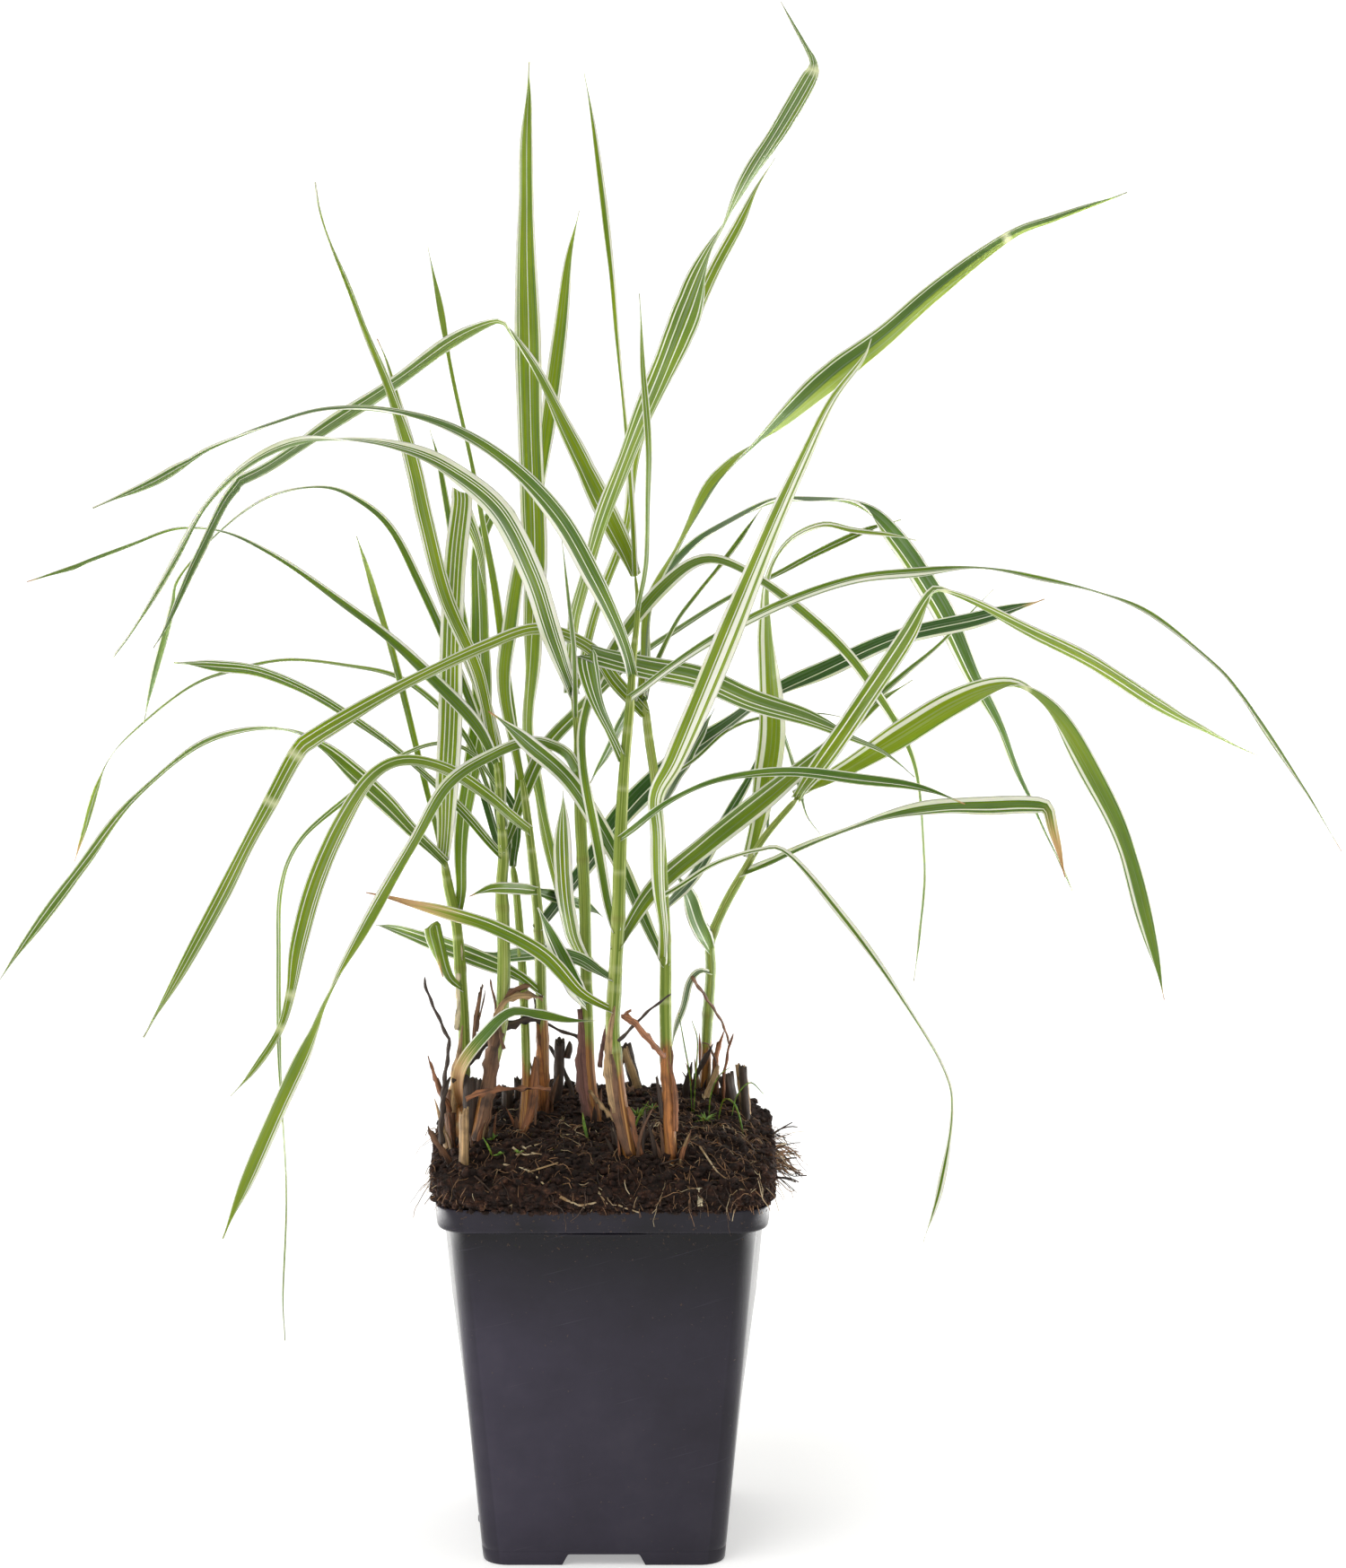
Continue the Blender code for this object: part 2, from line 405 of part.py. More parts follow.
def make_pot():
    band_bottom = POT_HEIGHT - BAND_HEIGHT
    outer = POT_WIDTH / 2
    profile = [
        (FOOT_WIDTH / 2 - WALL, FOOT_CORNER_RADIUS - WALL, FLOOR_HEIGHT),
        (FOOT_WIDTH / 2 - WALL, FOOT_CORNER_RADIUS - WALL, 0.0),
        (FOOT_WIDTH / 2 - EDGE_ROUNDING, FOOT_CORNER_RADIUS - EDGE_ROUNDING, 0.0),
        (wall_half(EDGE_RISE), FOOT_CORNER_RADIUS, EDGE_RISE),
        (wall_half(band_bottom), CORNER_RADIUS, band_bottom),
        (outer - BAND_LEDGE, CORNER_RADIUS, band_bottom),
        (outer - EDGE_ROUNDING, CORNER_RADIUS, band_bottom + EDGE_RISE),
        (outer, CORNER_RADIUS, POT_HEIGHT),
        (outer - WALL, CORNER_RADIUS - WALL, POT_HEIGHT),
        (outer - WALL - EDGE_ROUNDING, CORNER_RADIUS - WALL, band_bottom + WALL),
        (wall_half(band_bottom) - WALL, CORNER_RADIUS - WALL, band_bottom - 0.2),
        (wall_half(FLOOR_HEIGHT + WALL) - WALL, FOOT_CORNER_RADIUS - WALL, FLOOR_HEIGHT + WALL),
    ]
    builder = bmesh.new()
    join_rings(builder, [square_ring(builder, *row) for row in profile])
    pot = add_object("pot", builder, make_material("black_pot_plastic", (0.03, 0.03, 0.035), 0.35))

    builder = bmesh.new()
    for side in range(4):
        turn = math.radians(90 * side)
        corners = []
        for reach in (FOOT_WIDTH / 2 - 4, FOOT_WIDTH / 2 + 4):
            for across, height in (
                (-NOTCH_WIDTH / 2, -1.0),
                (NOTCH_WIDTH / 2, -1.0),
                (NOTCH_TOP_WIDTH / 2, NOTCH_HEIGHT),
                (-NOTCH_TOP_WIDTH / 2, NOTCH_HEIGHT),
            ):
                x = across * math.cos(turn) - reach * math.sin(turn)
                y = across * math.sin(turn) + reach * math.cos(turn)
                corners.append(builder.verts.new((x, y, height)))
        join_rings(builder, [corners[:4], corners[4:]])
    use_boolean(pot, add_cutter("notch_cutter", builder), "DIFFERENCE")

    builder = bmesh.new()
    for x in (-HOLE_PLACE, HOLE_PLACE):
        for y in (-HOLE_PLACE, HOLE_PLACE):
            add_drum(builder, Vector((x, y, 1.0)), Vector((x, y, FLOOR_HEIGHT + 4)), HOLE_RADIUS, 10)
    use_boolean(pot, add_cutter("hole_cutter", builder), "DIFFERENCE")

    builder = bmesh.new()
    add_drum(builder, Vector((0, 0, 0)), Vector((0, 0, FLOOR_HEIGHT + 0.5)), CENTRE_PAD_RADIUS, 16)
    use_boolean(pot, add_cutter("centre_pad_block", builder), "UNION")
    return pot


def add_drum(builder, low, high, radius, sides):
    """An upright closed cylinder between two points."""
    rings = []
    for place in (low, high):
        ring = []
        for i in range(sides):
            angle = math.tau * i / sides
            ring.append(builder.verts.new(place + radius * Vector((math.cos(angle), math.sin(angle), 0))))
        rings.append(ring)
    join_rings(builder, rings)


def make_soil(sockets):
    """The root ball; each socket is the place and radius of a stem that stands in it."""
    bumps = random.Random(4)
    inside = FLOOR_HEIGHT + WALL + GAP
    band_bottom = POT_HEIGHT - BAND_HEIGHT
    slack = WALL + GAP + 0.1
    rim_half = POT_WIDTH / 2 - WALL - GAP - 0.5
    rows = [
        (wall_half(inside) - slack, FOOT_CORNER_RADIUS - slack, inside),
        (wall_half(band_bottom) - slack - 0.1, CORNER_RADIUS - slack, band_bottom - 1.0),
        (rim_half, CORNER_RADIUS - slack, band_bottom + 3.0),
        (rim_half, CORNER_RADIUS - slack, POT_HEIGHT + 1.0),
    ]
    builder = bmesh.new()
    rings = [square_ring(builder, *row) for row in rows]
    rings.append(square_ring(builder, rim_half - 1.0, CORNER_RADIUS, POT_HEIGHT + SOIL_PROUD - 3.0, bumps))
    rings.append(square_ring(builder, rim_half - 4.0, CORNER_RADIUS, POT_HEIGHT + SOIL_PROUD, bumps))
    rings.append(square_ring(builder, 25.0, CORNER_RADIUS, POT_HEIGHT + SOIL_CROWN - 1.5, bumps))
    rings.append(square_ring(builder, 11.0, 5.0, POT_HEIGHT + SOIL_CROWN, bumps))
    join_rings(builder, rings)
    bmesh.ops.triangulate(builder, faces=[face for face in builder.faces if face.normal.z >= 0])
    soil = add_object("soil", builder, make_material("damp_peat", (0.03, 0.018, 0.012), 0.95))

    builder = bmesh.new()
    for place, radius in sockets:
        bottom = place - Vector((0, 0, POCKET_DEPTH + GAP + 0.2))
        add_drum(builder, bottom, place + Vector((0, 0, 14)), radius + POCKET_SLACK, 8)
    use_boolean(soil, add_cutter("pocket_cutter", builder), "DIFFERENCE")
    return soil


def tube(builder, places, radii, sides):
    """Skins a bent tube of round sections, without twist."""
    rings = []
    side_way = Vector((1, 0, 0))
    for place, along, radius in zip(places, tangents(places), radii):
        side_way = (side_way - along * side_way.dot(along)).normalized()
        front_way = along.cross(side_way)
        ring = []
        for i in range(sides):
            angle = math.tau * i / sides
            offset = side_way * math.cos(angle) + front_way * math.sin(angle)
            ring.append(builder.verts.new(place + offset * radius))
        rings.append(ring)
    join_rings(builder, rings)


def make_culm(name, depths, route, material):
    """One stem, with its foot straight down in the peat; returns its socket."""
    curve = even_steps(route_curve(depths, route), 16.0, 5, 10)
    foot = curve[0][0]
    radius = curve[0][1] / 2
    sunk = foot - Vector((0, 0, POCKET_DEPTH))
    places = [sunk] + [place for place, _ in curve]
    radii = [radius] + [width / 2 for _, width in curve]
    builder = bmesh.new()
    tube(builder, places, radii, CULM_SIDES)
    add_object(name, builder, material)
    return foot, radius


def make_leaf(name, depths, route, material):
    """One blade: a thin strip, folded a little along its midrib, that ends in a point."""
    curve = even_steps(route_curve(depths, route), BLADE_STEP, *BLADE_RINGS)
    widest = max(abs(width) for _, width in curve)
    last = len(curve) - 1
    widths = []
    turns = []
    for i, (_, shown) in enumerate(curve):
        t = i / last
        width = widest * min(0.5 + 2.5 * t, 1.0) * min(1.0, ((1 - t) / 0.5) ** 0.75)
        widths.append(max(width, abs(shown), 0.01))
        turns.append(math.acos(max(-1.0, min(1.0, shown / widths[-1]))))
    while max(abs(b - a) for a, b in zip(turns, turns[1:])) > MOST_TWIST:
        middles = [(a + 2 * b + c) / 4 for a, b, c in zip(turns, turns[1:], turns[2:])]
        turns = turns[:1] + middles + turns[-1:]

    hand = 1 if route[-1][0] > route[0][0] else -1
    places = [place for place, _ in curve]
    sight = Vector((0, math.cos(VIEW_ANGLE), -math.sin(VIEW_ANGLE)))
    builder = bmesh.new()
    rings = []
    for along, place, width, turn in list(zip(tangents(places), places, widths, turns))[:last]:
        flat = along.cross(sight)
        if flat.length < 0.2:
            flat = Vector((1, 0, 0))
        flat.normalize()
        across = flat * math.cos(turn) + sight * (hand * math.sin(turn))
        across = (across - along * across.dot(along)).normalized()
        face = along.cross(across)
        edge = across * (width / 2)
        lift = face * (width / 2 * BLADE_FOLD)
        half = face * (BLADE_THICKNESS / 2)
        rings.append([builder.verts.new(p) for p in (
            place - edge + lift, place - half, place + edge + lift, place + half)])
    tip = builder.verts.new(places[last])
    for lower, upper in zip(rings, rings[1:]):
        for i in range(4):
            j = (i + 1) % 4
            # The same diagonal on both faces of each half keeps a twisted blade from cutting itself.
            edge_first = i % 2 == 0
            builder.faces.new((lower[i], lower[j], upper[j] if edge_first else upper[i]))
            builder.faces.new((upper[j], upper[i], lower[i] if edge_first else lower[j]))
    builder.faces.new(list(reversed(rings[0])))
    for i in range(4):
        builder.faces.new((rings[-1][i], rings[-1][(i + 1) % 4], tip))
    add_object(name, builder, material)


def make_stub(name, depth, route, material):
    """One cut stalk left from last year, with its foot in the peat; returns its socket."""
    places = [from_view(across, up, depth) for across, up, _ in route]
    sunk = places[0] - Vector((0, 0, POCKET_DEPTH))
    radii = [route[0][2] / 2] + [width / 2 for _, _, width in route]
    builder = bmesh.new()
    tube(builder, [sunk] + places, radii, CULM_SIDES)
    add_object(name, builder, material)
    return places[0], route[0][2] / 2


def main():
    clear_scene()
    make_pot()
    culm_green = make_material("culm_green", (0.27, 0.36, 0.08), 0.45)
    sockets = [make_culm(name, *row, culm_green) for name, row in CULM_ROUTES.items()]
    dead_straw = make_material("dead_straw", (0.35, 0.22, 0.12), 0.7)
    sockets += [make_stub(name, *row, dead_straw) for name, row in STUB_ROUTES.items()]
    make_soil(sockets)
    blade_green = make_material("striped_blade", (0.22, 0.36, 0.1), 0.5)
    for name, row in LEAF_ROUTES.items():
        make_leaf(name, *row, blade_green)


main()
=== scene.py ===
"""Potted striped reed canary grass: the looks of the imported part, its floor, its light and its camera.

Lengths in the tables are millimetres. The front of the plant faces -Y, and +X is right in the photo.
"""

import math
import random

import bmesh
import bpy
import numpy as np
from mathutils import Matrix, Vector, noise


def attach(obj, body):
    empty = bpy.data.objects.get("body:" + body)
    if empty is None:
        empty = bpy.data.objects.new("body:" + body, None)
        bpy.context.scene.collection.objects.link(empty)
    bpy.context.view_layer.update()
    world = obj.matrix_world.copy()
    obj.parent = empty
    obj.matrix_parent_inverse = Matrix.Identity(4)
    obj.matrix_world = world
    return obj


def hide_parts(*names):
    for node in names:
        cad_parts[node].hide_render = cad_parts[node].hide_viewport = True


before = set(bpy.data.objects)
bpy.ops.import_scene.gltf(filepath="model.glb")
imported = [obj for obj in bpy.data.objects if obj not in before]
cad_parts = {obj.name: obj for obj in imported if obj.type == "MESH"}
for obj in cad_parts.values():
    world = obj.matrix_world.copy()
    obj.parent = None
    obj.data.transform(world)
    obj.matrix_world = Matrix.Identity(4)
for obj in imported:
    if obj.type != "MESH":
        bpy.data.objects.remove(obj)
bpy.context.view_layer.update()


# Camera. It looks down by 12 degrees from a metre and a half away, with a long lens, as the photo does.
# Stems, blades and scraps are drawn as curves in this view (across, up) and put at a depth behind it.
VIEW_ANGLE = math.radians(12)
VIEW_DISTANCE = 1500.0
VIEW_ACROSS = 18.5
VIEW_HEIGHT = 206.8
SIGHT = np.array([0.0, math.cos(VIEW_ANGLE), -math.sin(VIEW_ANGLE)])
MM = 0.001


def from_view(across, up, depth):
    """Points drawn in the front view put at their depths; positive is behind the pot's middle."""
    rise = up - VIEW_HEIGHT * math.cos(VIEW_ANGLE)
    distance = VIEW_DISTANCE + depth / math.cos(VIEW_ANGLE)
    distance = distance / (1 + rise * math.tan(VIEW_ANGLE) / VIEW_DISTANCE)
    growth = distance / VIEW_DISTANCE
    height = (rise * growth - depth * math.sin(VIEW_ANGLE)) / math.cos(VIEW_ANGLE)
    x = VIEW_ACROSS + (across - VIEW_ACROSS) * growth
    return np.stack([x, depth + 0.0 * x, VIEW_HEIGHT + height], axis=-1)


lens = bpy.data.cameras.new("camera")
lens.sensor_width = 36.0
lens.lens = 129.7
lens.clip_end = 60.0
camera = bpy.data.objects.new("camera", lens)
aim = Vector((VIEW_ACROSS, 0.0, VIEW_HEIGHT)) * MM
camera.location = aim - Vector(SIGHT) * VIEW_DISTANCE * MM
camera.rotation_euler = (math.radians(90) - VIEW_ANGLE, 0.0, 0.0)
bpy.context.collection.objects.link(camera)
bpy.context.scene.camera = camera
bpy.context.scene.view_settings.view_transform = "Standard"


# Studio. A pale painted floor under an even white tent: bright behind and at the sides, darker towards
# the camera, which keeps the pot's front dark and puts bright slivers on its rounded corners.
def linear(code):
    """An sRGB hex colour as the linear values that a shader takes."""
    parts = [int(code[i:i + 2], 16) / 255 for i in (1, 3, 5)]
    return [c / 12.92 if c <= 0.04045 else ((c + 0.055) / 1.055) ** 2.4 for c in parts] + [1.0]


def add_node(tree, kind, inputs=None, stops=None, **settings):
    """Adds a shader node; inputs are values or the sockets they are linked to, stops a colour ramp."""
    node = tree.nodes.new("ShaderNode" + kind)
    for key, value in settings.items():
        setattr(node, key, value)
    if stops:
        ramp = node.color_ramp
        while len(ramp.elements) < len(stops):
            ramp.elements.new(1.0)
        for element, (place, colour) in zip(ramp.elements, stops):
            element.position = place
            element.color = linear(colour) if isinstance(colour, str) else [colour] * 3 + [1.0]
    for key, value in (inputs or {}).items():
        if isinstance(value, bpy.types.NodeSocket):
            tree.links.new(value, node.inputs[key])
        else:
            node.inputs[key].default_value = value
    return node


def new_material(name):
    material = bpy.data.materials.new(name)
    material.use_nodes = True
    material.node_tree.nodes.clear()
    return material, material.node_tree


def finish_material(tree, **inputs):
    """The shader and the output; keys are the shader's socket names with underscores for spaces."""
    named = {key.replace("_", " "): value for key, value in inputs.items()}
    shader = add_node(tree, "BsdfPrincipled", named)
    add_node(tree, "OutputMaterial", {"Surface": shader.outputs[0]})


def add_piece(name, points, faces, material, smooth=True, points_in_mm=True):
    """A mesh object from an array of points and lists of face corners."""
    mesh = bpy.data.meshes.new(name)
    scale = MM if points_in_mm else 1.0
    mesh.from_pydata((np.asarray(points, float) * scale).tolist(), [], faces)
    mesh.materials.append(material)
    mesh.polygons.foreach_set("use_smooth", [smooth] * len(mesh.polygons))
    builder = bmesh.new()
    builder.from_mesh(mesh)
    bmesh.ops.recalc_face_normals(builder, faces=builder.faces)
    builder.to_mesh(mesh)
    builder.free()
    piece = bpy.data.objects.new(name, mesh)
    bpy.context.collection.objects.link(piece)
    return piece


world = bpy.data.worlds.new("tent")
world.use_nodes = True
bpy.context.scene.world = world
sky = world.node_tree
sky.nodes.clear()
way = add_node(sky, "SeparateXYZ", {0: add_node(sky, "TexCoord").outputs["Generated"]})
tent = add_node(sky, "MapRange", {0: way.outputs["Y"], 1: -1.0, 2: 0.6, 3: 0.42, 4: 1.0})
seen = add_node(sky, "LightPath").outputs["Is Camera Ray"]
strength = add_node(sky, "Mix", {0: seen, 2: tent.outputs[0], 3: 1.0}, data_type="FLOAT")
lit = add_node(sky, "Background", {0: linear("#FFFEFC"), 1: strength.outputs[0]})
add_node(sky, "OutputWorld", {0: lit.outputs[0]})

paint, tree = new_material("pale_studio_paint")
mottle = add_node(tree, "TexNoise", {"Scale": 3.0, "Detail": 2.0})
tint = add_node(tree, "ValToRGB", {0: mottle.outputs[0]}, stops=[(0.3, "#F4F4F3"), (0.7, "#F8F8F7")])
finish_material(
    tree, Base_Color=tint.outputs[0], Roughness=0.8, Emission_Color=linear("#FFFFFF"), Emission_Strength=0.34)
floor_points = [(-9, -4, 0), (9, -4, 0), (9, 12, 0), (-9, 12, 0)]
floor = add_piece("studio_floor", floor_points, [(0, 1, 2, 3)], paint, points_in_mm=False)

# One very soft key light from the front left, high up.
lamp = bpy.data.lights.new("key_light", "SUN")
lamp.energy = 0.9
lamp.angle = math.radians(40)
key_light = bpy.data.objects.new("key_light", lamp)
key_light.rotation_euler = Vector((0.45, 0.55, -1.0)).to_track_quat("-Z", "Y").to_euler()
bpy.context.collection.objects.link(key_light)
# Two panels hang over the floor at the sides; the pot's corners mirror the bright floor under them.
for side in (-1, 1):
    lamp = bpy.data.lights.new("floor_panel", "AREA")
    lamp.energy = 8.0
    lamp.size = 0.5
    lamp.spread = math.radians(40)
    panel = bpy.data.objects.new("floor_panel", lamp)
    panel.location = (0.52 * side, 0.12, 0.5)
    bpy.context.collection.objects.link(panel)


# Pot. A 9 cm square nursery pot, injection moulded in charcoal polypropylene: thin tapered walls, a
# turned-out rim band, a raised floor with drain holes and a notch under each side.
POT_TOP = 102.0
RIM_HALF = 44.0
FOOT_HALF = 32.5
BAND_LOW = 95.3
WALL = 1.1
FLOOR_LOW = 3.5
CORNER_STEPS = 10
SIDE_STEPS = 12
WALL_TOP_HALF = 40.6
BULGE = 3.1


def wall_half(height):
    """The half width of the tapered wall at a height, at its corners."""
    return FOOT_HALF + (WALL_TOP_HALF - FOOT_HALF) * height / BAND_LOW


def square_ring(half, radius, height, bulge=0.0):
    """Points round a square with rounded corners, whose sides bulge outwards in the middle."""
    ring = []
    for corner in range(4):
        turn = math.radians(90 * corner + 45)
        for step in range(CORNER_STEPS + 1):
            angle = math.radians(90 * corner + 90 * step / CORNER_STEPS)
            reach = (half - radius) * math.sqrt(2)
            ring.append((
                reach * math.cos(turn) + radius * math.cos(angle),
                reach * math.sin(turn) + radius * math.sin(angle),
                height))
        side = math.radians(90 * corner + 90)
        for step in range(1, SIDE_STEPS):
            along = 2 * step / SIDE_STEPS - 1
            out, over = half + bulge * (1 - along ** 2), along * (half - radius)
            ring.append((
                out * math.cos(side) - over * math.sin(side),
                out * math.sin(side) + over * math.cos(side),
                height))
    return ring


def skin(rings):
    """Faces between rings of equal length, closed at both ends."""
    count = len(rings[0])
    faces = []
    for low in range(len(rings) - 1):
        for i in range(count):
            j = (i + 1) % count
            a, b = low * count, (low + 1) * count
            faces.append((a + i, a + j, b + j, b + i))
    faces.append(tuple(reversed(range(count))))
    last = (len(rings) - 1) * count
    faces.append(tuple(range(last, last + count)))
    return [point for ring in rings for point in ring], faces


def cut(piece, points, faces, operation="DIFFERENCE"):
    """Applies a Boolean with a closed tool and drops the tool."""
    tool = add_piece("tool", points, faces, piece.data.materials[0], smooth=False)
    change = piece.modifiers.new("cut", "BOOLEAN")
    change.operation = operation
    change.solver = "EXACT"
    change.object = tool
    done = bpy.data.meshes.new_from_object(piece.evaluated_get(bpy.context.evaluated_depsgraph_get()))
    piece.modifiers.clear()
    piece.data = done
    bpy.data.objects.remove(tool)


plastic, tree = new_material("moulded_charcoal_polypropylene")
place = add_node(tree, "TexCoord").outputs["Object"]
spot = add_node(tree, "SeparateXYZ", {0: place})
# Flow lines of the melt: fine upright streaks, 0.6 mm apart, that catch the light on the flat sides.
streak_place = add_node(tree, "VectorMath", {0: place, 1: (1700.0, 1700.0, 14.0)}, operation="MULTIPLY")
streaks = add_node(tree, "TexNoise", {0: streak_place.outputs[0], "Scale": 1.0, "Detail": 3.0})
# Handling: faint scratches, 20 mm long, that rise to the right.
turned = add_node(tree, "VectorRotate", {0: place, "Angle": math.radians(16)}, rotation_type="Y_AXIS")
scratch_place = add_node(tree, "VectorMath", {0: turned.outputs[0], 1: (38.0, 90.0, 1900.0)}, operation="MULTIPLY")
scratch_noise = add_node(tree, "TexNoise", {0: scratch_place.outputs[0], "Scale": 1.0, "Detail": 1.0})
scratches = add_node(tree, "ValToRGB", {0: scratch_noise.outputs[0]}, stops=[(0.72, 0.0), (0.82, 0.4)])
# Soft clouds, 25 mm wide, where the wall is more or less polished.
cloud = add_node(tree, "TexNoise", {0: place, "Scale": 42.0, "Detail": 4.0, "Roughness": 0.6})
body = add_node(tree, "ValToRGB", {0: cloud.outputs[0]}, stops=[
    (0.3, "#2B2733"), (0.55, "#312D3A"), (0.8, "#393541")])
# Each side has a flat panel; outside it the rounded corner is painted a shade darker, a painted shade for the curved
# corner's dimmer reflection.
across = add_node(tree, "Math", {0: spot.outputs["X"]}, operation="ABSOLUTE")
along = add_node(tree, "Math", {0: spot.outputs["Y"]}, operation="ABSOLUTE")
nearer = add_node(tree, "Math", {0: across.outputs[0], 1: along.outputs[0]}, operation="MINIMUM")
reach = add_node(tree, "Math", {
    0: spot.outputs["Z"], 1: 0.105, 2: 0.0325}, operation="MULTIPLY_ADD")
share = add_node(tree, "Math", {0: nearer.outputs[0], 1: reach.outputs[0]}, operation="DIVIDE")
corner = add_node(tree, "MapRange", {0: share.outputs[0], 1: 0.845, 2: 0.86, 3: 1.0, 4: 0.78})
painted_corner_shade = add_node(tree, "Mix", {
    0: 1.0, 6: body.outputs[0], 7: corner.outputs[0]}, data_type="RGBA", blend_type="MULTIPLY")
# Painted light and shade: the wall is painted a little darker at the foot, much darker in a painted shade just under
# the band and darker on the band, and painted lighter on the left, where the key light falls, than on the right.
height_share = add_node(tree, "Math", {0: spot.outputs["Z"], 1: 1 / 0.102}, operation="MULTIPLY")
painted_shade_by_height = add_node(tree, "ValToRGB", {0: height_share.outputs[0]}, stops=[
    (0.0, 0.85), (0.12, 1.0), (0.62, 0.95), (0.8, 0.5), (0.925, 0.16), (0.94, 0.5), (1.0, 0.6)])
painted_light_from_left = add_node(tree, "MapRange", {0: spot.outputs["X"], 1: -0.034, 2: 0.034, 3: 1.3, 4: 0.72})
painted_light_factor = add_node(tree, "Math", {0: painted_shade_by_height.outputs[0], 1: painted_light_from_left.outputs[0]}, operation="MULTIPLY")
painted_light_colour = add_node(tree, "Mix", {
    0: 1.0, 6: painted_corner_shade.outputs[2], 7: painted_light_factor.outputs[0]}, data_type="RGBA", blend_type="MULTIPLY")
marked = add_node(tree, "Mix", {
    0: scratches.outputs[0], 6: painted_light_colour.outputs[2], 7: linear("#47444F")}, data_type="RGBA")
# Two painted dark reflections, soft patches 17 mm wide, hang from the rim on the front.
painted_reflection_colour = marked.outputs[2]
for middle in (-0.019, 0.013):
    off = add_node(tree, "VectorMath", {0: place, 1: (-middle, 0.042, -0.0945)}, operation="ADD")
    wide = add_node(tree, "VectorMath", {0: off.outputs[0], 1: (115.0, 60.0, 150.0)}, operation="MULTIPLY")
    far = add_node(tree, "VectorMath", {0: wide.outputs[0]}, operation="LENGTH")
    inside = add_node(tree, "MapRange", {0: far.outputs["Value"], 1: 1.05, 2: 0.5, 3: 0.0, 4: 0.6})
    painted_dark_reflection = add_node(tree, "Mix", {
        0: inside.outputs[0], 6: painted_reflection_colour, 7: linear("#131217")}, data_type="RGBA")
    painted_reflection_colour = painted_dark_reflection.outputs[2]
# Peat dust clings under the rim and along the foot as small brown specks.
dust_noise = add_node(tree, "TexNoise", {0: place, "Scale": 900.0, "Detail": 3.0})
near_rim = add_node(tree, "MapRange", {0: spot.outputs["Z"], 1: 0.085, 2: 0.102, 3: 0.0, 4: 0.1})
dusty = add_node(tree, "Math", {0: dust_noise.outputs[0], 1: near_rim.outputs[0]}, operation="ADD")
specks = add_node(tree, "ValToRGB", {0: dusty.outputs[0]}, stops=[(0.70, 0.0), (0.78, 0.7)])
coloured = add_node(tree, "Mix", {
    0: specks.outputs[0], 6: painted_reflection_colour, 7: linear("#4B3A2C")}, data_type="RGBA")
gloss = add_node(tree, "MapRange", {0: streaks.outputs[0], 1: 0.3, 2: 0.75, 3: 0.11, 4: 0.2})
rough = add_node(tree, "Math", {0: gloss.outputs[0], 1: specks.outputs[0]}, operation="MAXIMUM")
bump = add_node(tree, "Bump", {"Strength": 0.02, "Distance": 0.0002, "Height": streaks.outputs[0]})
finish_material(
    tree, Base_Color=coloured.outputs[2], Roughness=rough.outputs[0], IOR=1.49,
    Specular_IOR_Level=0.25, Normal=bump.outputs[0])

profile = [
    (FOOT_HALF - WALL, 5.9, FLOOR_LOW),
    (FOOT_HALF - WALL, 5.9, 0.25),
    (FOOT_HALF - WALL + 0.15, 6.05, 0.05),
    (FOOT_HALF - WALL + 0.3, 6.2, 0.0),
    (FOOT_HALF - 0.35, 6.7, 0.0),
    (FOOT_HALF - 0.12, 6.9, 0.1),
    (wall_half(0.5), 7.0, 0.5),
]
for height, sunk in (
        (1.5, 0), (3.8, 0), (4.0, 0.07), (4.2, 0), (6, 0), (20, 0), (45, 0), (70, 0), (90, 0), (BAND_LOW - 0.6, 0)):
    # A hair line runs round the foot where two parts of the mould met. Above, the root ball has pushed the
    # thin sides out, most of all under the band.
    pushed = BULGE * min(1.0, max(0.0, (height - 18) / 60)) - 0.3 * (height > 80)
    profile.append((wall_half(height) - sunk, 6.6, height, pushed))
profile += [
    (WALL_TOP_HALF, 6.8, BAND_LOW - 0.1, BULGE - 0.4),
    (RIM_HALF - 1.1, 8.0, BAND_LOW + 0.05),
    (RIM_HALF - 0.7, 8.0, BAND_LOW + 0.35),
    (RIM_HALF - 0.42, 8.0, BAND_LOW + 0.9),
    (RIM_HALF - 0.25, 8.0, BAND_LOW + 2.0),
    (RIM_HALF, 8.0, POT_TOP - 0.5),
    (RIM_HALF - 0.08, 7.9, POT_TOP - 0.2),
    (RIM_HALF - 0.3, 7.7, POT_TOP - 0.03),
    (RIM_HALF - 0.55, 7.5, POT_TOP),
    (RIM_HALF - 0.8, 7.2, POT_TOP - 0.03),
    (RIM_HALF - 1.02, 7.0, POT_TOP - 0.2),
    (RIM_HALF - WALL, 6.9, POT_TOP - 0.5),
    (RIM_HALF - WALL - 0.4, 6.9, BAND_LOW + WALL),
    (wall_half(BAND_LOW) - WALL, 6.9, BAND_LOW - 0.2),
    (wall_half(FLOOR_LOW + WALL) - WALL, 5.9, FLOOR_LOW + WALL),
]
pot_points, pot_faces = skin([square_ring(*row) for row in profile])
pot = add_piece("moulded_pot", pot_points, pot_faces, plastic)
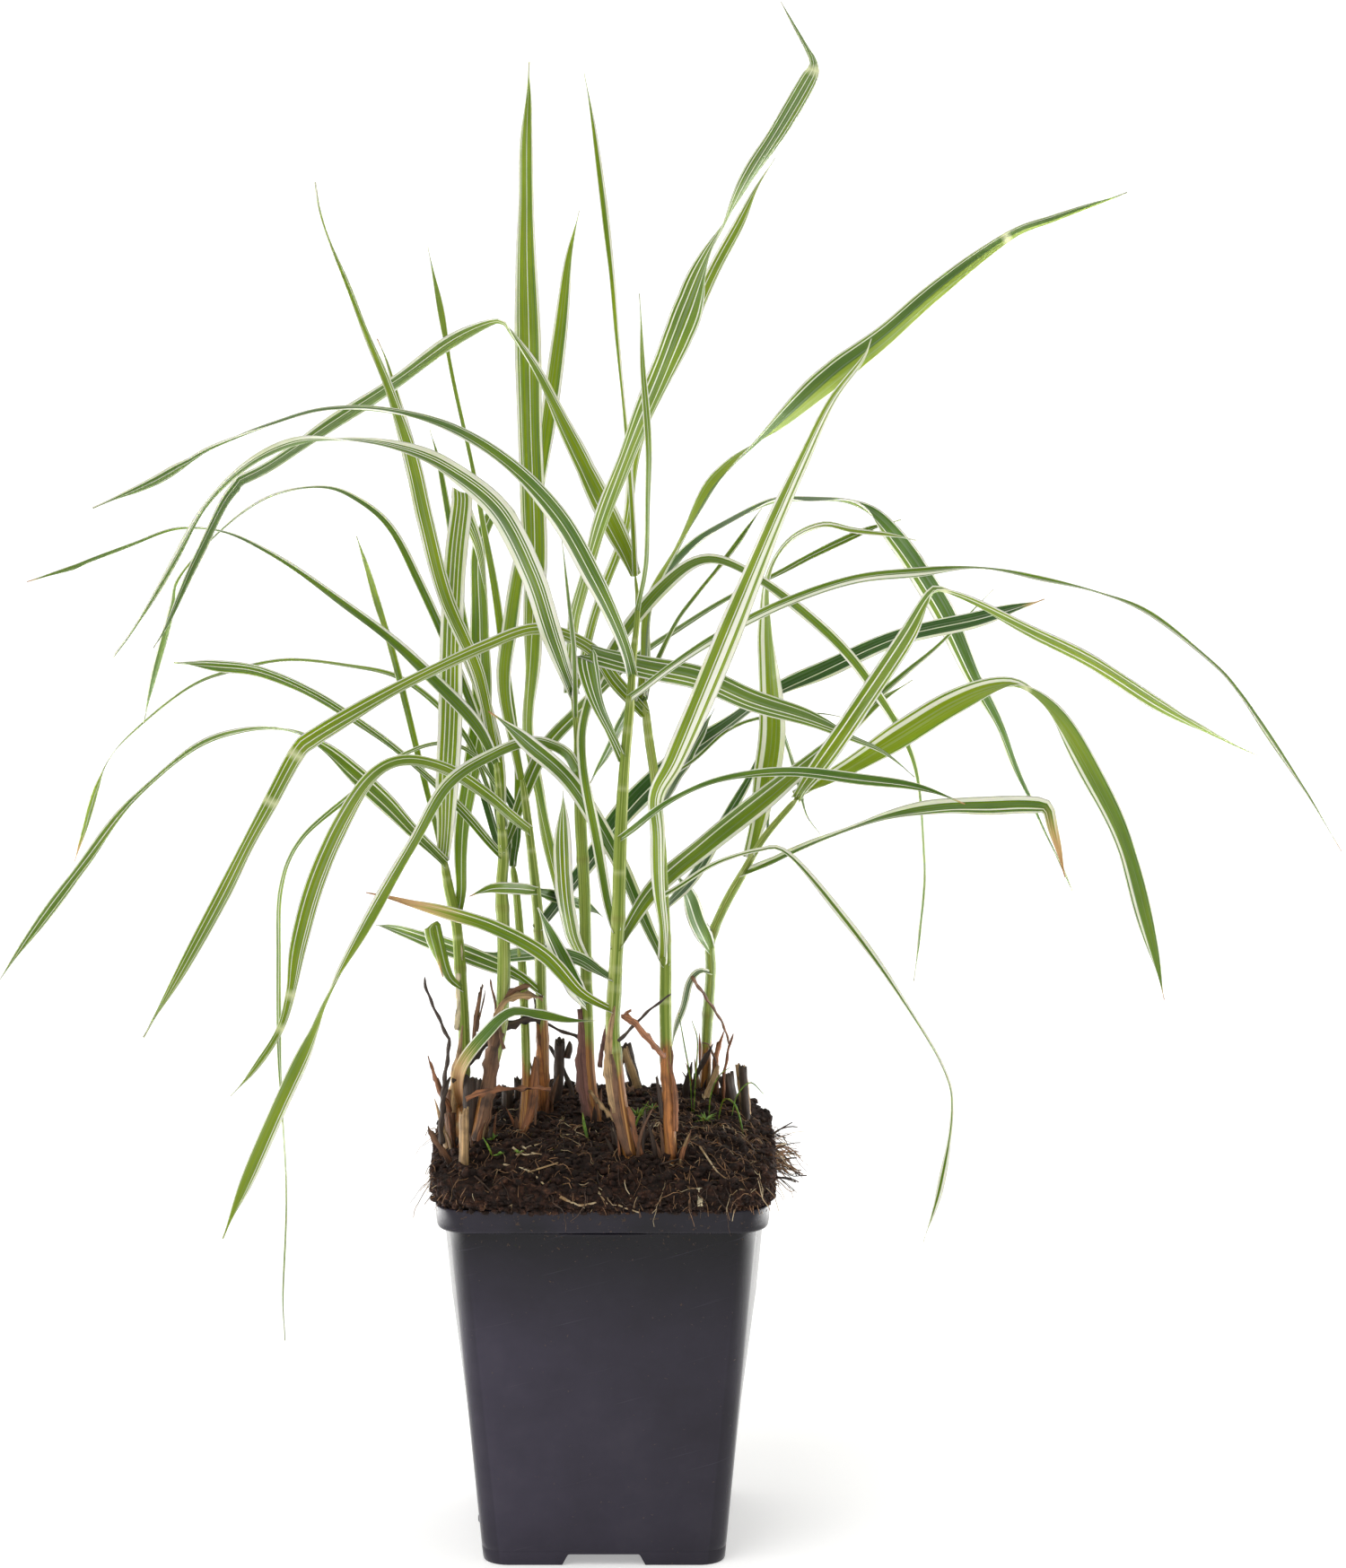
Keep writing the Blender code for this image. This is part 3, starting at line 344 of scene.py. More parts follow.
# The notch under each side, as (across, up) points.
NOTCH = ((-11.7, -1), (11.7, -1), (9.8, 2.7), (9.5, 3.1), (9.1, 3.2), (-9.1, 3.2), (-9.5, 3.1), (-9.8, 2.7))
for side in range(4):
    turn = math.radians(90 * side)
    frames = []
    for reach in (FOOT_HALF - 4, FOOT_HALF + 4):
        frames.append([(
            across * math.cos(turn) - reach * math.sin(turn),
            across * math.sin(turn) + reach * math.cos(turn),
            height) for across, height in NOTCH])
    cut(pot, *skin(frames))
for x in (-19, 19):
    for y in (-19, 19):
        drum = [[(x + 3 * math.cos(a), y + 3 * math.sin(a), z) for a in np.linspace(0, math.tau, 25)[:-1]]
                for z in (1.0, 8.0)]
        cut(pot, *skin(drum))
pad = [[(8 * math.cos(a), 8 * math.sin(a), z) for a in np.linspace(0, math.tau, 41)[:-1]] for z in (0.0, 4.0)]
cut(pot, *skin(pad), operation="UNION")
# A small nub of plastic is left on the left side near the foot.
nub = [[(x, -20 + r * math.cos(a), 9 + r * math.sin(a)) for a in np.linspace(0, math.tau, 17)[:-1]]
       for x, r in ((-33.0, 1.3), (-33.7, 1.2), (-33.95, 0.7))]
cut(pot, *skin(nub), operation="UNION")
pot.data.polygons.foreach_set("use_smooth", [True] * len(pot.data.polygons))
pot.data.set_sharp_from_angle(angle=math.radians(38))
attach(pot, "root")
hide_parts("pot")


# Peat. The root ball fills the pot and stands a centimetre proud of the rim, heaped a little in the
# middle: damp black-brown crumbs bound by fibres, with a smoother dark face at the front.
PEAT_HALF = 45.2
PEAT_SQUARENESS = 7.0
AROUND = 420
chance = random.Random(11)


def ripple(x, y, size, seed):
    """Smooth noise from -1 to 1 with lumps of a size."""
    return noise.noise((x / size, y / size, seed))


def peat_reach(angle):
    """How far the rounded square of the root ball reaches in a direction."""
    c, s = abs(math.cos(angle)), abs(math.sin(angle))
    return PEAT_HALF / (c ** PEAT_SQUARENESS + s ** PEAT_SQUARENESS) ** (1 / PEAT_SQUARENESS)


def peat_height(x, y):
    """The surface of the peat, rough at three sizes."""
    out = min(1.0, math.hypot(x, y) / peat_reach(math.atan2(y, x)))
    fall = out ** 2.8
    height = POT_TOP + 15.5 * (1 - fall) + (6.2 - 1.4 * (y / PEAT_HALF) ** 2) * fall
    clods = 1.6 * ripple(x, y, 12, 3.1) + 2.0 * ripple(x, y, 5.0, 7.7) + 1.4 * ripple(x, y, 2.2, 1.9)
    # The middle of the front is packed smoother.
    packed = math.exp(-((x + 8) / 22) ** 2 - ((y + 30) / 13) ** 2)
    return height + clods * (1 - 0.65 * packed)


rings = []
for share in np.linspace(0.02, 1.0, 90):
    ring = []
    for i in range(AROUND):
        angle = math.tau * i / AROUND
        reach = share * peat_reach(angle)
        x, y = reach * math.cos(angle), reach * math.sin(angle)
        ring.append((x, y, peat_height(x, y)))
    rings.append(ring)
# The ball's side above the rim, which it overhangs, then down inside the wall to the floor.
edge = rings[-1]
for drop, inward in ((0.2, 0.0), (0.45, -0.1), (0.7, -0.1), (0.9, 0.1), (1.0, 0.6)):
    ring = []
    for x, y, z in edge:
        rough = 1.1 * noise.noise((x / 3, y / 3, z / 3 + 3 * drop)) + 0.6 * noise.noise((x, y, 9 * drop)) - inward
        ring.append((x * (1 + rough / 44), y * (1 + rough / 44), z + (POT_TOP + 0.25 - z) * drop))
    rings.append(ring)
for height, gap in ((POT_TOP - 0.4, 1.3), (BAND_LOW + 1.0, 1.9)):
    squeeze = (RIM_HALF - gap) / PEAT_HALF
    rings.append([(x * squeeze, y * squeeze, height) for x, y, _ in edge])
for height in (BAND_LOW - 1.5, 60.0, 25.0, FLOOR_LOW + WALL + 0.2):
    squeeze = (wall_half(height) - WALL - 0.4) / PEAT_HALF
    rings.append([(x * squeeze, y * squeeze, height) for x, y, _ in edge])

damp, tree = new_material("damp_crumbly_peat")
place = add_node(tree, "TexCoord").outputs["Object"]
# Crumbs 2 mm wide in near-black and dark brown, with a few paler bits of wood and fibre.
grain = add_node(tree, "TexNoise", {0: place, "Scale": 520.0, "Detail": 8.0, "Roughness": 0.7})
crumb_colour = add_node(tree, "ValToRGB", {0: grain.outputs[0]}, stops=[
    (0.30, "#080503"), (0.46, "#20120C"), (0.60, "#432A1E"), (0.76, "#8D6247")])
broad = add_node(tree, "TexNoise", {0: place, "Scale": 55.0, "Detail": 3.0})
damp_share = add_node(tree, "MapRange", {0: broad.outputs[0], 1: 0.35, 2: 0.65, 3: 0.0, 4: 0.65})
coloured = add_node(tree, "Mix", {
    0: damp_share.outputs[0], 6: crumb_colour.outputs[0], 7: linear("#160D09")}, data_type="RGBA")
pits = add_node(tree, "TexVoronoi", {0: place, "Scale": 700.0})
relief = add_node(tree, "Math", {0: grain.outputs[0], 1: pits.outputs[0]}, operation="ADD")
bump = add_node(tree, "Bump", {"Strength": 0.9, "Distance": 0.0006, "Height": relief.outputs[0]})
finish_material(
    tree, Base_Color=coloured.outputs[2], Roughness=0.9, Specular_IOR_Level=0.3,
    Normal=bump.outputs[0])

peat = add_piece("peat_root_ball", *skin(rings), damp)
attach(peat, "root")
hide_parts("soil")


def lump(points, faces, centre, size, source):
    """Adds one crumb: a small ball pushed in and out."""
    start = len(points)
    stretch = Vector((source.uniform(0.7, 1.3), source.uniform(0.7, 1.3), source.uniform(0.55, 0.95)))
    spin = source.uniform(0, 10)
    for corner in BALL[0]:
        push = size * (1 + 0.45 * noise.noise(corner * 1.7 + Vector((spin, 0, 0))))
        points.append(Vector(centre) + corner * stretch * push)
    faces += [tuple(start + i for i in face) for face in BALL[1]]


builder = bmesh.new()
bmesh.ops.create_icosphere(builder, subdivisions=1, radius=1.0)
BALL = ([v.co.copy() for v in builder.verts], [[v.index for v in face.verts] for face in builder.faces])
builder.free()
points, faces = [], []
for _ in range(6000):
    angle = chance.uniform(0, math.tau)
    reach = peat_reach(angle) * chance.uniform(0, 1) ** 0.45
    x, y = reach * math.cos(angle), reach * math.sin(angle)
    size = 0.25 + 1.5 * chance.random() ** 3.5
    lump(points, faces, (x, y, peat_height(x, y) + size * 0.15), size, chance)
for _ in range(2600):
    # Crumbs on the front and side faces of the ball, above the rim.
    angle = chance.uniform(-math.pi, 0) if chance.random() < 0.7 else chance.uniform(0, math.pi)
    reach = peat_reach(angle) - 0.1
    x, y = reach * math.cos(angle), reach * math.sin(angle)
    top = peat_height(x, y)
    height = chance.uniform(POT_TOP - 0.5, top)
    lump(points, faces, (x, y, height), 0.3 + 0.8 * chance.random() ** 2, chance)
crumbs = add_piece("peat_crumbs", points, faces, damp, smooth=False)
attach(crumbs, "root")


# Culms. Eight upright stems, each a hollow stalk wrapped in the sheaths of its leaves: rusty and worn at
# the foot, yellow-green above, with fine lengthwise lines, a swollen joint and a pale collar per blade.
CULMS = {
    "culm_1": ((117, 166, 181, 184), (131, 158), 12, (-15, -8, 0), [
        (-38, 110, 3.1), (-37, 124.5, 3.3), (-37, 139, 3.1), (-38, 153.5, 3.1), (-39, 165, 3.1),
        (-41, 174.5, 2.9), (-42.5, 183, 2.6)]),
    "culm_2": ((182, 190, 195, 201, 208, 212), (146, 176), 22, (-22, -14, -6), [
        (-33.5, 107.5, 3.3), (-30.5, 123.5, 3.3), (-27.5, 136.5, 3.3), (-26.5, 148.5, 3.3),
        (-26.5, 163, 3.3), (-27, 174.5, 3.1), (-26.5, 184, 2.9), (-27.5, 197.5, 2.4), (-28.5, 209, 1.9)]),
    "culm_3": ((183,), (150,), 16, (-18, -2, 6), [
        (-21.5, 109, 2.6), (-20.5, 124.5, 2.4), (-21, 143.5, 2.4), (-22, 160.5, 2.4), (-23, 172.5, 2.1),
        (-24, 180.5, 2.1)]),
    "culm_4": ((146, 163, 190, 204), (138, 168), 26, (-1, -6, -4), [
        (-16, 114, 3.3), (-16, 129.5, 3.3), (-16.5, 146, 3.1), (-17, 163, 3.1), (-18, 174.5, 2.9),
        (-19.5, 188, 2.6), (-21.5, 203.5, 2.4)]),
    "culm_5": ((144, 154, 205, 226, 233), (150, 186), 22, (-13, -2, 6), [
        (-2, 111, 3.6), (-4, 127, 3.6), (-4.5, 148.5, 3.3), (-5, 172.5, 3.3), (-6, 191.5, 3.3),
        (-6.5, 205, 2.9), (-7, 216.5, 2.1), (-8, 226, 2.1)]),
    "culm_6": ((142, 158, 163, 188, 210, 225, 232, 248, 259), (141, 176), 24, (-31, -23.4, -9), [
        (7, 103.5, 3.3), (4, 121, 3.6), (2.5, 136.5, 3.6), (3, 148.5, 3.6), (4, 167.5, 3.6),
        (4.5, 186.5, 3.6), (5.5, 205.5, 3.1), (7, 222.5, 2.9), (8, 236.5, 2.4), (9, 246, 2.1),
        (9, 252, 1.8), (8.5, 257.5, 1.6)]),
    "culm_7": ((154, 170, 221, 225, 228), (139, 170), 26, (-32, -22, -4), [
        (18, 103.5, 3.1), (17, 122.5, 3.1), (16.5, 141.5, 3.1), (16.5, 158, 3.1), (15.5, 182, 2.9),
        (14, 201, 2.6), (12, 215, 2.6), (11, 224.5, 2.4)]),
    "culm_8": ((178, 183, 199), (137, 161), 14, (30, 24, 14), [
        (27, 119.5, 2.9), (27.5, 136.5, 2.9), (28.5, 152, 2.9), (28.5, 160.5, 2.6), (32, 169.5, 2.6),
        (37, 178.5, 2.4), (43, 188.5, 2.1), (51.5, 198.5, 1.9)]),
}
PEAT_DEPTH = 8.0


def drawn_curve(depths, route, step):
    """A curve drawn in the front view: its points in space at even steps, the third value there, its run."""
    drawn = np.array(route, float)
    ends = [2 * drawn[0] - drawn[1]], [2 * drawn[-1] - drawn[-2]]
    a = np.concatenate([ends[0], drawn, ends[1]])
    f = np.linspace(0, 1, 25)[:-1, None, None]
    p0, p1, p2, p3 = a[None, :-3], a[None, 1:-2], a[None, 2:-1], a[None, 3:]
    bends = 0.5 * (2 * p1 + (p2 - p0) * f + (2 * p0 - 5 * p1 + 4 * p2 - p3) * f ** 2
                   + (3 * p1 - p0 - 3 * p2 + p3) * f ** 3)
    dense = np.concatenate([bends.transpose(1, 0, 2).reshape(-1, drawn.shape[1]), drawn[-1:]])
    drawn_run = np.r_[0, np.cumsum(np.linalg.norm(np.diff(dense[:, :2], axis=0), axis=1))]
    t = drawn_run / drawn_run[-1]
    first, middle, last = depths
    depth = first * (1 - t) * (1 - 2 * t) + middle * 4 * t * (1 - t) + last * t * (2 * t - 1)
    places = from_view(dense[:, 0], dense[:, 1], depth)
    run = np.r_[0, np.cumsum(np.linalg.norm(np.diff(places, axis=0), axis=1))]
    goal = np.linspace(0, run[-1], max(5, round(run[-1] / step)) + 1)
    columns = np.concatenate([places, dense[:, 2:3]], axis=1)
    even = np.stack([np.interp(goal, run, column) for column in columns.T], axis=1)
    return even[:, :3], even[:, 3], goal


def unit(rows):
    return rows / np.maximum(np.linalg.norm(rows, axis=1, keepdims=True), 1e-9)


def tube(places, radii, sides):
    """Rings round a bent line, without twist."""
    along = unit(np.gradient(places, axis=0))
    side_way = np.array([1.0, 0.0, 0.0])
    rings = []
    turns = np.linspace(0, math.tau, sides + 1)[:-1, None]
    for place, way, radius in zip(places, along, radii):
        side_way = side_way - way * side_way.dot(way)
        side_way /= np.linalg.norm(side_way)
        front_way = np.cross(way, side_way)
        rings.append(place + radius * (np.cos(turns) * side_way + np.sin(turns) * front_way))
    return rings


def add_values(piece, name, values, domain="POINT"):
    """Stores four values for each point or face, which the material reads by name."""
    data = piece.data.attributes.new(name, "FLOAT_COLOR", domain)
    data.data.foreach_set("color", np.asarray(values, np.float32).reshape(-1))


sheath, tree = new_material("living_leaf_sheath")
state = add_node(tree, "Attribute", attribute_name="state")
part = add_node(tree, "SeparateColor", {0: state.outputs["Color"]})
run = add_node(tree, "Attribute", attribute_name="run")
# Veins run the length of the sheath, about 0.4 mm apart, green between pale.
vein_place = add_node(tree, "VectorMath", {0: run.outputs["Color"], 1: (0.012, 2.4, 1.0)}, operation="MULTIPLY")
veins = add_node(tree, "TexNoise", {0: vein_place.outputs[0], "Scale": 1.0, "Detail": 2.0})
mottle_place = add_node(tree, "VectorMath", {0: run.outputs["Color"], 1: (0.09, 0.3, 1.0)}, operation="MULTIPLY")
mottle = add_node(tree, "TexNoise", {0: mottle_place.outputs[0], "Scale": 1.0, "Detail": 3.0})
living = add_node(tree, "ValToRGB", {0: veins.outputs[0]}, stops=[
    (0.3, "#556C1C"), (0.46, "#74872A"), (0.6, "#939F48"), (0.74, "#C3C68A")])
aged = add_node(tree, "ValToRGB", {0: veins.outputs[0]}, stops=[
    (0.3, "#5A3A22"), (0.5, "#92602F"), (0.7, "#BC8A4C")])
ageing = add_node(tree, "Math", {0: mottle.outputs[0], 1: -0.5}, operation="ADD")
age_place = add_node(tree, "Math", {
    0: part.outputs[0], 1: ageing.outputs[0]}, operation="ADD")
age_share = add_node(tree, "MapRange", {0: age_place.outputs[0], 1: 0.35, 2: 0.6})
body = add_node(tree, "Mix", {
    0: age_share.outputs[0], 6: living.outputs[0], 7: aged.outputs[0]}, data_type="RGBA")
collared = add_node(tree, "Mix", {
    0: part.outputs[1], 6: body.outputs[2], 7: linear("#D9D8A8")}, data_type="RGBA")
jointed = add_node(tree, "Mix", {
    0: part.outputs[2], 6: collared.outputs[2], 7: linear("#6E5A2E")}, data_type="RGBA")
bump = add_node(tree, "Bump", {"Strength": 0.5, "Distance": 0.0002, "Height": veins.outputs[0]})
finish_material(tree, Base_Color=jointed.outputs[2], Roughness=0.42, IOR=1.42, Normal=bump.outputs[0])

culm_lines = {}
for name, (collars, joints, age, depths, route) in CULMS.items():
    places, widths, run = drawn_curve(depths, route, 1.0)
    up = places[:, 2]
    radii = widths / 2 * 0.92
    pale = np.zeros(len(run))
    dark = np.zeros(len(run))
    # Above each collar the next sheath starts inside, so the stem steps in by a little.
    for collar in collars:
        past = (up - collar) / 1.2
        radii = radii + 0.07 * (np.clip(0.5 - past * 2, 0, 1) - 0.5)
        pale = np.maximum(pale, 0.28 * np.exp(-((up - collar) / 0.6) ** 2))
    for joint in joints:
        swell = np.exp(-((up - joint) / 1.4) ** 2)
        radii = radii + 0.2 * swell
        dark = np.maximum(dark, np.exp(-((up - joint) / 0.7) ** 2))
    radii = np.minimum(radii, 2.3) * (1 + 0.02 * np.sin(run / 3 + len(name)))
    radii[-4:] *= (0.97, 0.9, 0.75, 0.5)
    culm_lines[int(name[-1])] = (places, radii)
    sunk = places[0] - np.array([0, 0, PEAT_DEPTH])
    rings = tube(np.concatenate([[sunk], places]), np.r_[radii[0], radii], 14)
    points, faces = skin(rings)
    piece = add_piece("stem_" + name[-1], points, faces, sheath)
    rust = np.clip(1 - (up - up[0] - age * 0.5) / age, 0, 1)
    state_rows = np.stack([rust, pale, dark * 0.35, np.ones(len(run))], axis=1)
    add_values(piece, "state", np.repeat(np.concatenate([state_rows[:1], state_rows]), 14, axis=0))
    around = np.abs(np.linspace(-1, 1, 15)[:-1]) * math.pi * 1.6
    rows = np.zeros((len(run) + 1, 14, 4))
    rows[..., 0] = np.r_[-PEAT_DEPTH, run][:, None]
    rows[..., 1] = around[None, :]
    rows[..., 2] = 3.7 * int(name[-1])
    add_values(piece, "run", rows)
    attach(piece, "root")
    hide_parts(name)


# Blades. Each is one long thin leaf grown from its collar: a shallow gutter, twisted and arched, striped
# along its veins in cream and green, waxy above and duller below; old tips are dry and brown.
# A row is: stripes from left to right as it grows (c cream, p pale, g green), tone from fresh to bluish,
# where along it the brown starts, depths of base, middle and tip, and (across, up, shown width) points.
BLADES = {
    "leaf_1_1": ("cgggggggc", 0.55, -0.4, (-17.5, -28, -26), [
        (-40, 117, 2), (-37.5, 127.5, 3), (-31, 136, 3.5), (-24.5, 141.5, 1), (-17.5, 141, 3),
        (-9, 139.5, 2), (-2, 139.5, 0)]),
    "leaf_1_2": ("cggggcgggggc", 0.3, 1, (-1.5, 22.5, 77.5), [
        (-37.5, 165.5, 2.5), (-37, 191.5, 4), (-32.5, 219.5, 5.5), (-32.5, 243.5, 5), (-33, 263, 4),
        (-30, 273, 3), (-27.5, 276, 3.5), (-24, 273, 2.5), (-21.5, 263, 1.5), (-20, 253.5, 0)]),
    "leaf_1_3": ("cggcgggcgc", 0.4, 1, (-3, -22, -40), [
        (-41.5, 181, 2), (-49.5, 188.5, 3), (-57.5, 197, 5), (-67, 205.5, 5), (-75, 212, 1),
        (-84, 216.5, -0.5), (-96, 216, -1.5), (-109, 211, -0.5), (-124.5, 198, -1), (-137, 182, -2.5),
        (-148, 167.5, -3), (-160.5, 150, 0)]),
    "leaf_1_4": ("ccggcggcggcggccc", 0.2, 1, (-1, 0, 30), [
        (-42, 184.5, 3.5), (-41.5, 201, 6), (-40.5, 220, 6.5), (-40, 243.5, 6), (-39, 263, 6),
        (-37.5, 277, 5.5), (-38, 280.5, 5), (-37.5, 276.5, 4.5), (-33, 265, 2.5), (-31, 251, 0)]),
    "leaf_1_5": ("cggggggc", 0.2, 1, (2.5, 14, -50.5), [
        (-42.5, 184.5, 2), (-45.5, 195, 1.5), (-48.5, 207, 1.5), (-52.5, 223.5, 2), (-56.5, 239, 1.5),
        (-60, 250.5, 2), (-62.5, 259, 1.5), (-65.5, 268, 0)]),
    "leaf_2_1": ("cgggcggcgc", 0.45, 1, (-7.5, 14, 26), [
        (-27.5, 182.5, 2), (-33.5, 190.5, 2.5), (-41, 198.5, 1.5), (-49, 206, 1.5), (-61, 215.5, 1.5),
        (-76, 225.5, 2.5), (-91, 232, 3), (-103, 233.5, 3.5), (-109.5, 234, 2), (-114, 234.5, 0)]),
    "leaf_2_2": ("cgggcgggc", 0.4, 1, (-7.5, 34, 70), [
        (-26.5, 184.5, 2), (-17, 209, 4), (-6.5, 221.5, 3.5), (7, 234, 2), (23.5, 245.5, 1.5),
        (35.5, 252.5, 1), (45.5, 257.5, 1), (55.5, 263, 2), (68.5, 269, 2), (79, 272.5, 0)]),
    "leaf_2_3": ("ccgcggggcc", 0.2, 0.97, (-6.8, 20, 46), [
        (-27, 190, 2), (-28, 209.5, 3), (-34, 230, 3), (-42.5, 253, 4), (-47.5, 274, 4), (-52, 292.5, 4),
        (-55, 306, 1.5), (-57.5, 314.5, 1), (-60, 320.5, 0)]),
    "leaf_2_4": ("cggpggc", 0.35, 0.93, (-6, 40, 72), [
        (-28.5, 195, 1), (-35.5, 213, 1.5), (-44, 223, 1.5), (-54.5, 230.5, 1.5), (-67, 233.5, 1),
        (-84, 235, 0.5), (-99.5, 232, 1.5), (-109.5, 228, 0.5), (-122, 218.5, 0.5), (-130.5, 210, 1),
        (-134.5, 201, -2), (-138, 189, -1.5), (-140.5, 181.5, 0)]),
    "leaf_2_5": ("cgggcggc", 0.35, 1, (-5, 6, -30), [
        (-28, 201, 1), (-35, 210.5, 1), (-44, 213, 1), (-55.5, 208.5, 1), (-66, 200, 2), (-80, 187.5, 1),
        (-85.5, 174.5, 1.5), (-86, 155.5, 1.5), (-86, 134, 1.5), (-85, 113, 0.5), (-84, 91.5, 0.5),
        (-85, 67.5, 0.5), (-84.5, 54.5, 0)]),
    "leaf_2_6": ("cgggggggcc", 0.5, 0.97, (-8.8, -14, -30), [
        (-28, 208, 2), (-34, 218.5, 3.5), (-44, 229, 3.5), (-56, 240, 2.5), (-72.5, 252.5, 2),
        (-89, 263.5, 1), (-100.5, 269, 0.5), (-112.5, 270, 0.5), (-124.5, 266, -1), (-136.5, 261.5, -1),
        (-141, 259.5, -1.5), (-153, 256, 0)]),
    "leaf_2_7": ("ccgcggggggcgc", 0.15, 1, (-5.8, -9, -35.5), [
        (-29, 212, 2.5), (-33.5, 232, 3.5), (-42, 251.5, 4), (-47, 271, 4.5), (-51.5, 290, 4),
        (-57.5, 307.5, 2), (-65, 326.5, 1.5), (-72, 344.5, 0.5), (-75.5, 355, 0.5), (-76.5, 362, 0)]),
    "leaf_3_1": ("cgggggggc", 0.25, 1, (5, 34, 52), [
        (-23.5, 183, 2), (-23, 208, 1.5), (-26.5, 236.5, 2.5), (-29, 254.5, 2), (-32, 271, 1.5),
        (-36, 291.5, 1), (-40.5, 312.5, 1), (-43, 327, 2), (-45, 337, 1), (-46.5, 345, 0)]),
    "leaf_3_2": ("cggggggcc", 0.5, 1, (8.9, 7.5, 50), [
        (-24, 184, 1.5), (-31.5, 213, 2), (-40.5, 237, 2.5), (-49, 256, 2.5), (-56.5, 270, 2),
        (-65, 277.5, 1.5), (-74.5, 281, 0.5), (-88.5, 278.5, 0.5), (-101.5, 269.5, 0.5),
        (-112.5, 257, 0.5), (-114.5, 248.5, 2), (-119, 232, 2), (-122, 218.5, 0)]),
    "leaf_4_1": ("cggcgggcggc", 0.45, 1, (-8.8, 0.5, 34), [
        (-16.5, 146.5, 1), (-23.5, 151.5, 3), (-34, 156, 5), (-46, 160.5, 4), (-54.5, 163.5, 2.5),
        (-60.5, 165, 0)]),
    "leaf_4_2": ("cdddddcddddcc", 0.75, 0.95, (0.5, 32, 11.5), [
        (-17, 163, 2), (-3.5, 181.5, 4.5), (6.5, 195, 6), (18, 206.5, 7), (31.5, 216.5, 2),
        (42.5, 224.5, 2.5), (57, 231.5, 5), (78, 241, 4.5), (99.5, 246, 4.5), (111.5, 249.5, 2),
        (117, 251.5, 0)]),
    "leaf_4_3": ("cgcgcgggggcggc", 0.2, 1, (-7.6, -44.5, -66), [
        (-20.5, 190, 2), (-31, 199, 3), (-42, 206, 2.5), (-53, 208, 2), (-61.5, 203.5, 3.5),
        (-69.5, 191.5, 4.5), (-76.5, 175.5, 5), (-81, 159, 4.5), (-83, 146.5, 2.5), (-86, 136.5, 2),
        (-92.5, 126.5, 2), (-99, 119.5, 0)]),
    "leaf_4_4": ("ccglgggggddcc", 0.12, 1, (-2.3, 37, 47.5), [
        (-21.5, 203.5, 2), (-26, 227, 3.5), (-24.5, 245, 4.5), (-21, 265, 3.5), (-17, 282, 3.5),
        (-14, 303, 4.5), (-11.5, 322, 4), (-9.5, 339, 2.5), (-7.5, 349.5, 1), (-6.5, 354.5, 0)]),
    "leaf_5_1": ("cccgcgggggc", 0.7, 1, (-10, -24, -36), [
        (-5.5, 143.5, 2), (-9, 151, 5), (-14, 161.5, 4), (-17.5, 169.5, 0)]),
    "leaf_5_2": ("ccggcggcggcc", 0.25, 1, (-7, -16, -24), [
        (-7, 154.5, 2), (-10, 170, 4), (-11, 184.5, 5), (-11, 193.5, 3.5), (-10.5, 200.5, 0)]),
    "leaf_5_3": ("ccgcgglgggcggggdgcc", 0.12, 1, (-0.9, 16, 8), [
        (-7, 155, 2), (-12, 173.5, 3.5), (-17, 196, 2.5), (-20.5, 215, 2.5), (-19.5, 236.5, 4),
        (-18.5, 263, 6.5), (-19.5, 296, 6.5), (-20, 320, 7), (-20.5, 341.5, 5.5), (-20.5, 357.5, 4),
        (-20.5, 372.5, 3.5), (-20, 385.5, 1.5), (-19.5, 394, 0)]),
    "leaf_5_4": ("cgggggggcgcc", (0.4, 0.1), 1, (1, -58, -104), [
        (-6.5, 205, 3), (-10.5, 211, 3), (-19.5, 213.5, 2.5), (-30, 209.5, 2.5), (-41.5, 201.5, 3.5),
        (-50.5, 186, 2.5), (-61.5, 167, 3.5), (-71.5, 148.5, 1.5), (-78, 133.5, -3.5), (-86, 116.5, -4),
        (-94.5, 97, -3.5), (-101, 81.5, 0)]),
    "leaf_5_5": ("cccgcggggcgcgccc", 0.5, 1, (3.8, -57, -46), [
        (-8, 226, 2.5), (-13.5, 241.5, 5.5), (-19, 258, 6), (-28, 275, 6), (-42, 286, 4),
        (-55.5, 291.5, 2.5), (-68.5, 293.5, 1), (-81.5, 292.5, -2), (-94.5, 286.5, -1.5),
        (-105, 276.5, -1), (-113.5, 261.5, -1.5), (-124.5, 243.5, -0.5), (-130, 236, 0)]),
    "leaf_5_6": ("ccggcggggcgc", 0.12, 1, (9, 34, 30), [
        (-6.5, 227, 2), (-2.5, 246, 2.5), (6, 269.5, 2.5), (10, 295.5, 3), (20.5, 319, 4),
        (29, 338, 3.5), (36, 351, 3), (41, 361, 1), (45.5, 368.5, 0)]),
    "leaf_5_7": ("cgcggcgggcgggcgc", (0.15, 0.5), 1, (4, -26, -44), [
        (-9, 233, 2), (-6.5, 248.5, 3), (-1, 267.5, 3.5), (7.5, 291, 4.5), (15.5, 310, 6),
        (22.5, 328, 8), (28, 342.5, 2), (31.5, 349.5, 1), (38, 362, -3), (47, 376.5, -4.5),
        (54, 388.5, -4.5), (56, 393, -2.5), (54.5, 397.5, -1), (47, 410, 0)]),
    "leaf_6_1": ("cggggggcggc", 0.3, 0.45, (-30.6, -32.5, -49.5), [
        (1.5, 142, 1.5), (-6.5, 147, 3), (-16, 157, 4), (-29, 164, 3.5), (-41, 168, 3.5),
        (-53, 171, 1.5), (-63, 173.5, 0)]),
    "leaf_6_2": ("cggcggggggcc", 0.3, 1, (-23, 8, 33.5), [
